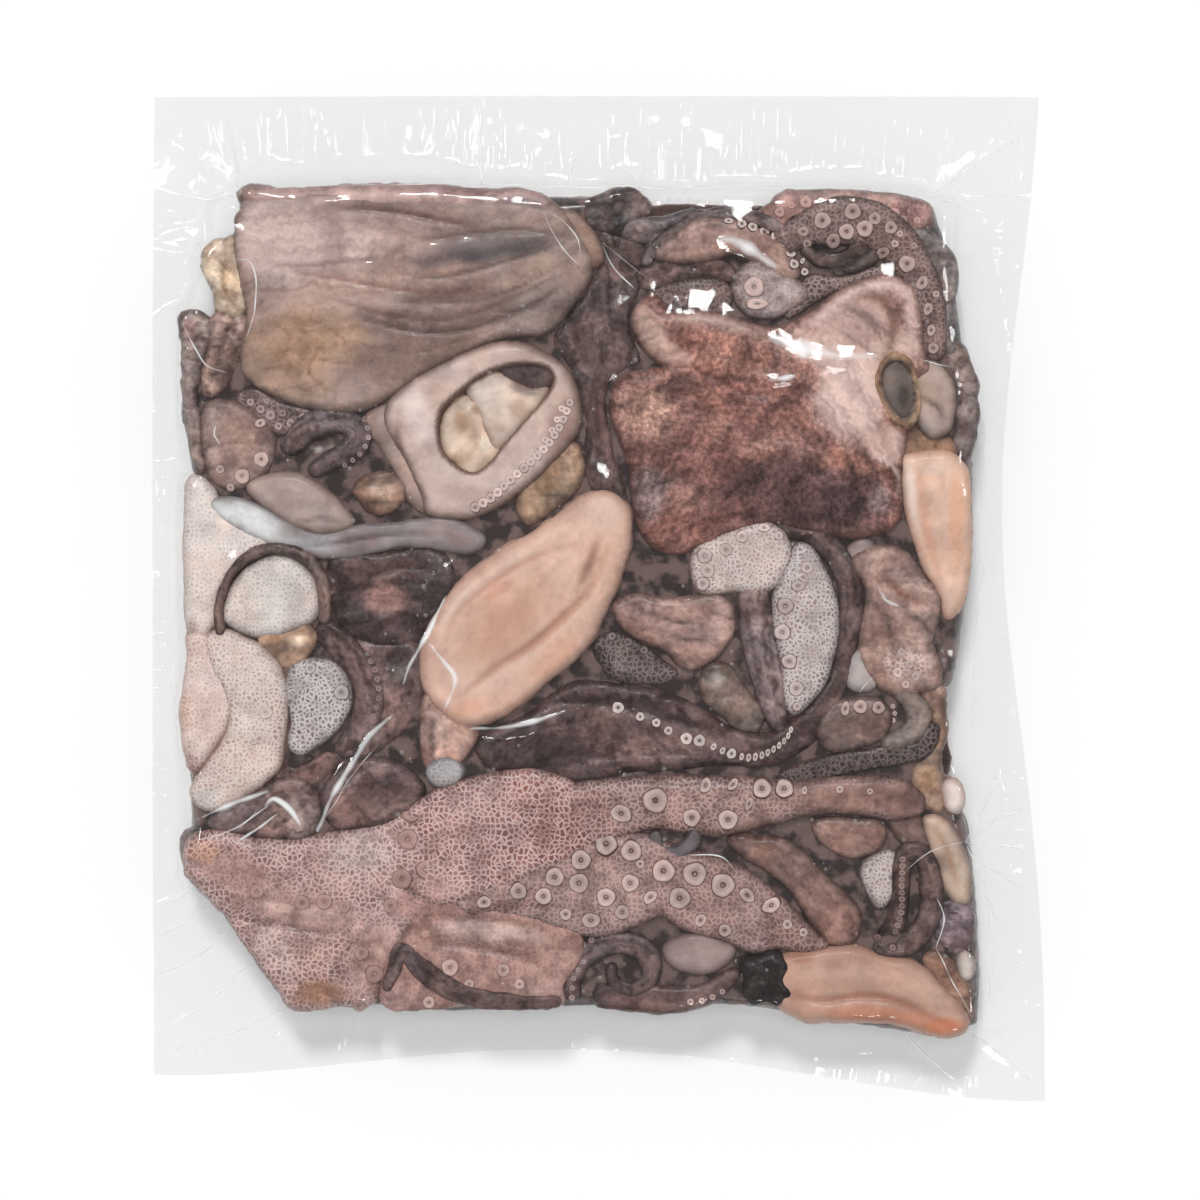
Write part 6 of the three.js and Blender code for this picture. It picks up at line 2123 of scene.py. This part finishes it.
# Bubbles under the film, along the creases
bubbles = {
    "count": 190, "size": (0.28, 0.8), "sides": 10, "seed": 17,
    "room": (0.9, 4.5), "inside": 3, "above": 12, "shift": 0.4, "sink": 0.25,
    "chain": {"count": 15, "start": (650, 204), "step": 9.6, "sag": 5, "height": 17.4, "size": 0.75},
}
random = np.random.default_rng(bubbles["seed"])
room = topHeights - contents
least, most = bubbles["room"]
roomy = (room > least) & (room < most) & (depth > bubbles["inside"])
creases = np.nonzero(roomy & (contents > bubbles["above"]))[0]
bubblePoints, bubbleFaces = [], []
chain = bubbles["chain"]
chainX, chainY = chain["start"]
seats = [
    (place, chain["height"], chain["size"])
    for place in toPlane([
        (chainX + chain["step"] * index, chainY - chain["sag"] * math.sin(index * 0.5))
        for index in range(chain["count"])])
]
smallest, largest = bubbles["size"]
for index in random.choice(creases, bubbles["count"], replace=False):
    size = smallest + (largest - smallest) * random.random() ** 2.2
    place = filmPlaces[index] + random.uniform(-bubbles["shift"], bubbles["shift"], 2)
    seats.append((place, topHeights[index] - bubbles["sink"] - size * 0.75, size))
for place, level, size in seats:
    angles = np.arange(bubbles["sides"]) / bubbles["sides"] * 2 * math.pi
    first = len(bubblePoints)
    for share, lift in ((1.0, 0.0), (0.92, 0.36), (0.66, 0.62), (0.3, 0.74)):
        ring = place + size * share * np.column_stack([np.cos(angles), np.sin(angles)])
        bubblePoints += np.column_stack([ring, np.full(len(ring), level + size * lift)]).tolist()
    for ring in range(3):
        for side in range(bubbles["sides"]):
            a = first + ring * bubbles["sides"] + side
            b = first + ring * bubbles["sides"] + (side + 1) % bubbles["sides"]
            bubbleFaces.append((a, b, b + bubbles["sides"], a + bubbles["sides"]))
    bubbleFaces.append(tuple(first + 3 * bubbles["sides"] + side for side in range(bubbles["sides"])))
addClear(makeMesh("bubbles", bubblePoints, bubbleFaces, materials["bubble"]))
print("bubbles made")


# Table, lights and camera
def makeFloor():
    material = bpy.data.materials.new("whiteTable")
    material.use_nodes = True
    shader = material.node_tree.nodes["Principled BSDF"]
    shader.inputs["Base Color"].default_value = (0.96, 0.96, 0.96, 1)
    shader.inputs["Roughness"].default_value = 0.8
    shader.inputs["Specular IOR Level"].default_value = 0.1
    corners = [(-1500, -1500, 0), (1500, -1500, 0), (1500, 1500, 0), (-1500, 1500, 0)]
    floor = makeMesh("whiteTable", corners, [(0, 1, 2, 3)], material, smooth=False)


def addSun(name, direction, power, spread, glints):  # light for the flesh, or only what the wet film mirrors
    light = bpy.data.lights.new(name, "SUN")
    light.energy = power
    light.angle = math.radians(spread)
    lamp = bpy.data.objects.new(name, light)
    lamp.rotation_euler = (-Vector(direction)).to_track_quat("-Z", "Y").to_euler()
    lamp.visible_glossy = glints
    lamp.visible_diffuse = not glints
    bpy.context.scene.collection.objects.link(lamp)


makeFloor()
for lamp in (  # name, where it comes from, power, spread in degrees, and whether only the film mirrors it
    ("topWindow", (-0.15, 0.8, 1.0), 1.3, 12, False),
    ("leftFill", (-0.8, -0.1, 1.0), 0.25, 50, False),
    ("overheadFill", (0.0, 0.0, 1.0), 1.2, 40, False),
    ("topGlint", (0.05, 0.74, 1.0), 1.35, 13, True),
    ("rightGlint", (0.8, 0.3, 1.0), 0.4, 9, True),
    ("leftGlint", (-0.62, 0.5, 1.0), 0.85, 12, True),
    ("lowGlint", (0.2, -0.8, 1.0), 0.25, 8, True),
):
    addSun(*lamp)

world = bpy.data.worlds.new("paleRoom")
world.use_nodes = True
sky = world.node_tree
facing = addNode(sky, "ShaderNodeTexCoord").outputs["Generated"]
toward = addNode(sky, "ShaderNodeSeparateXYZ", {0: facing}).outputs[2]
brightness = rangeNode(sky, toward, 0.35, 0.95, 0.52, 0.14)  # a darker ceiling over pale walls
sky.nodes["Background"].inputs["Color"].default_value = (0.96, 0.975, 1.0, 1)
sky.links.new(brightness, sky.nodes["Background"].inputs["Strength"])
scene = bpy.context.scene
scene.world = world
scene.view_settings.view_transform = "Standard"

camera = bpy.data.objects.new("camera", bpy.data.cameras.new("camera"))
camera.data.lens = 100
camera.data.sensor_width = 36
camera.location = (0, -0.0003, 1.016)
scene.collection.objects.link(camera)
scene.camera = camera
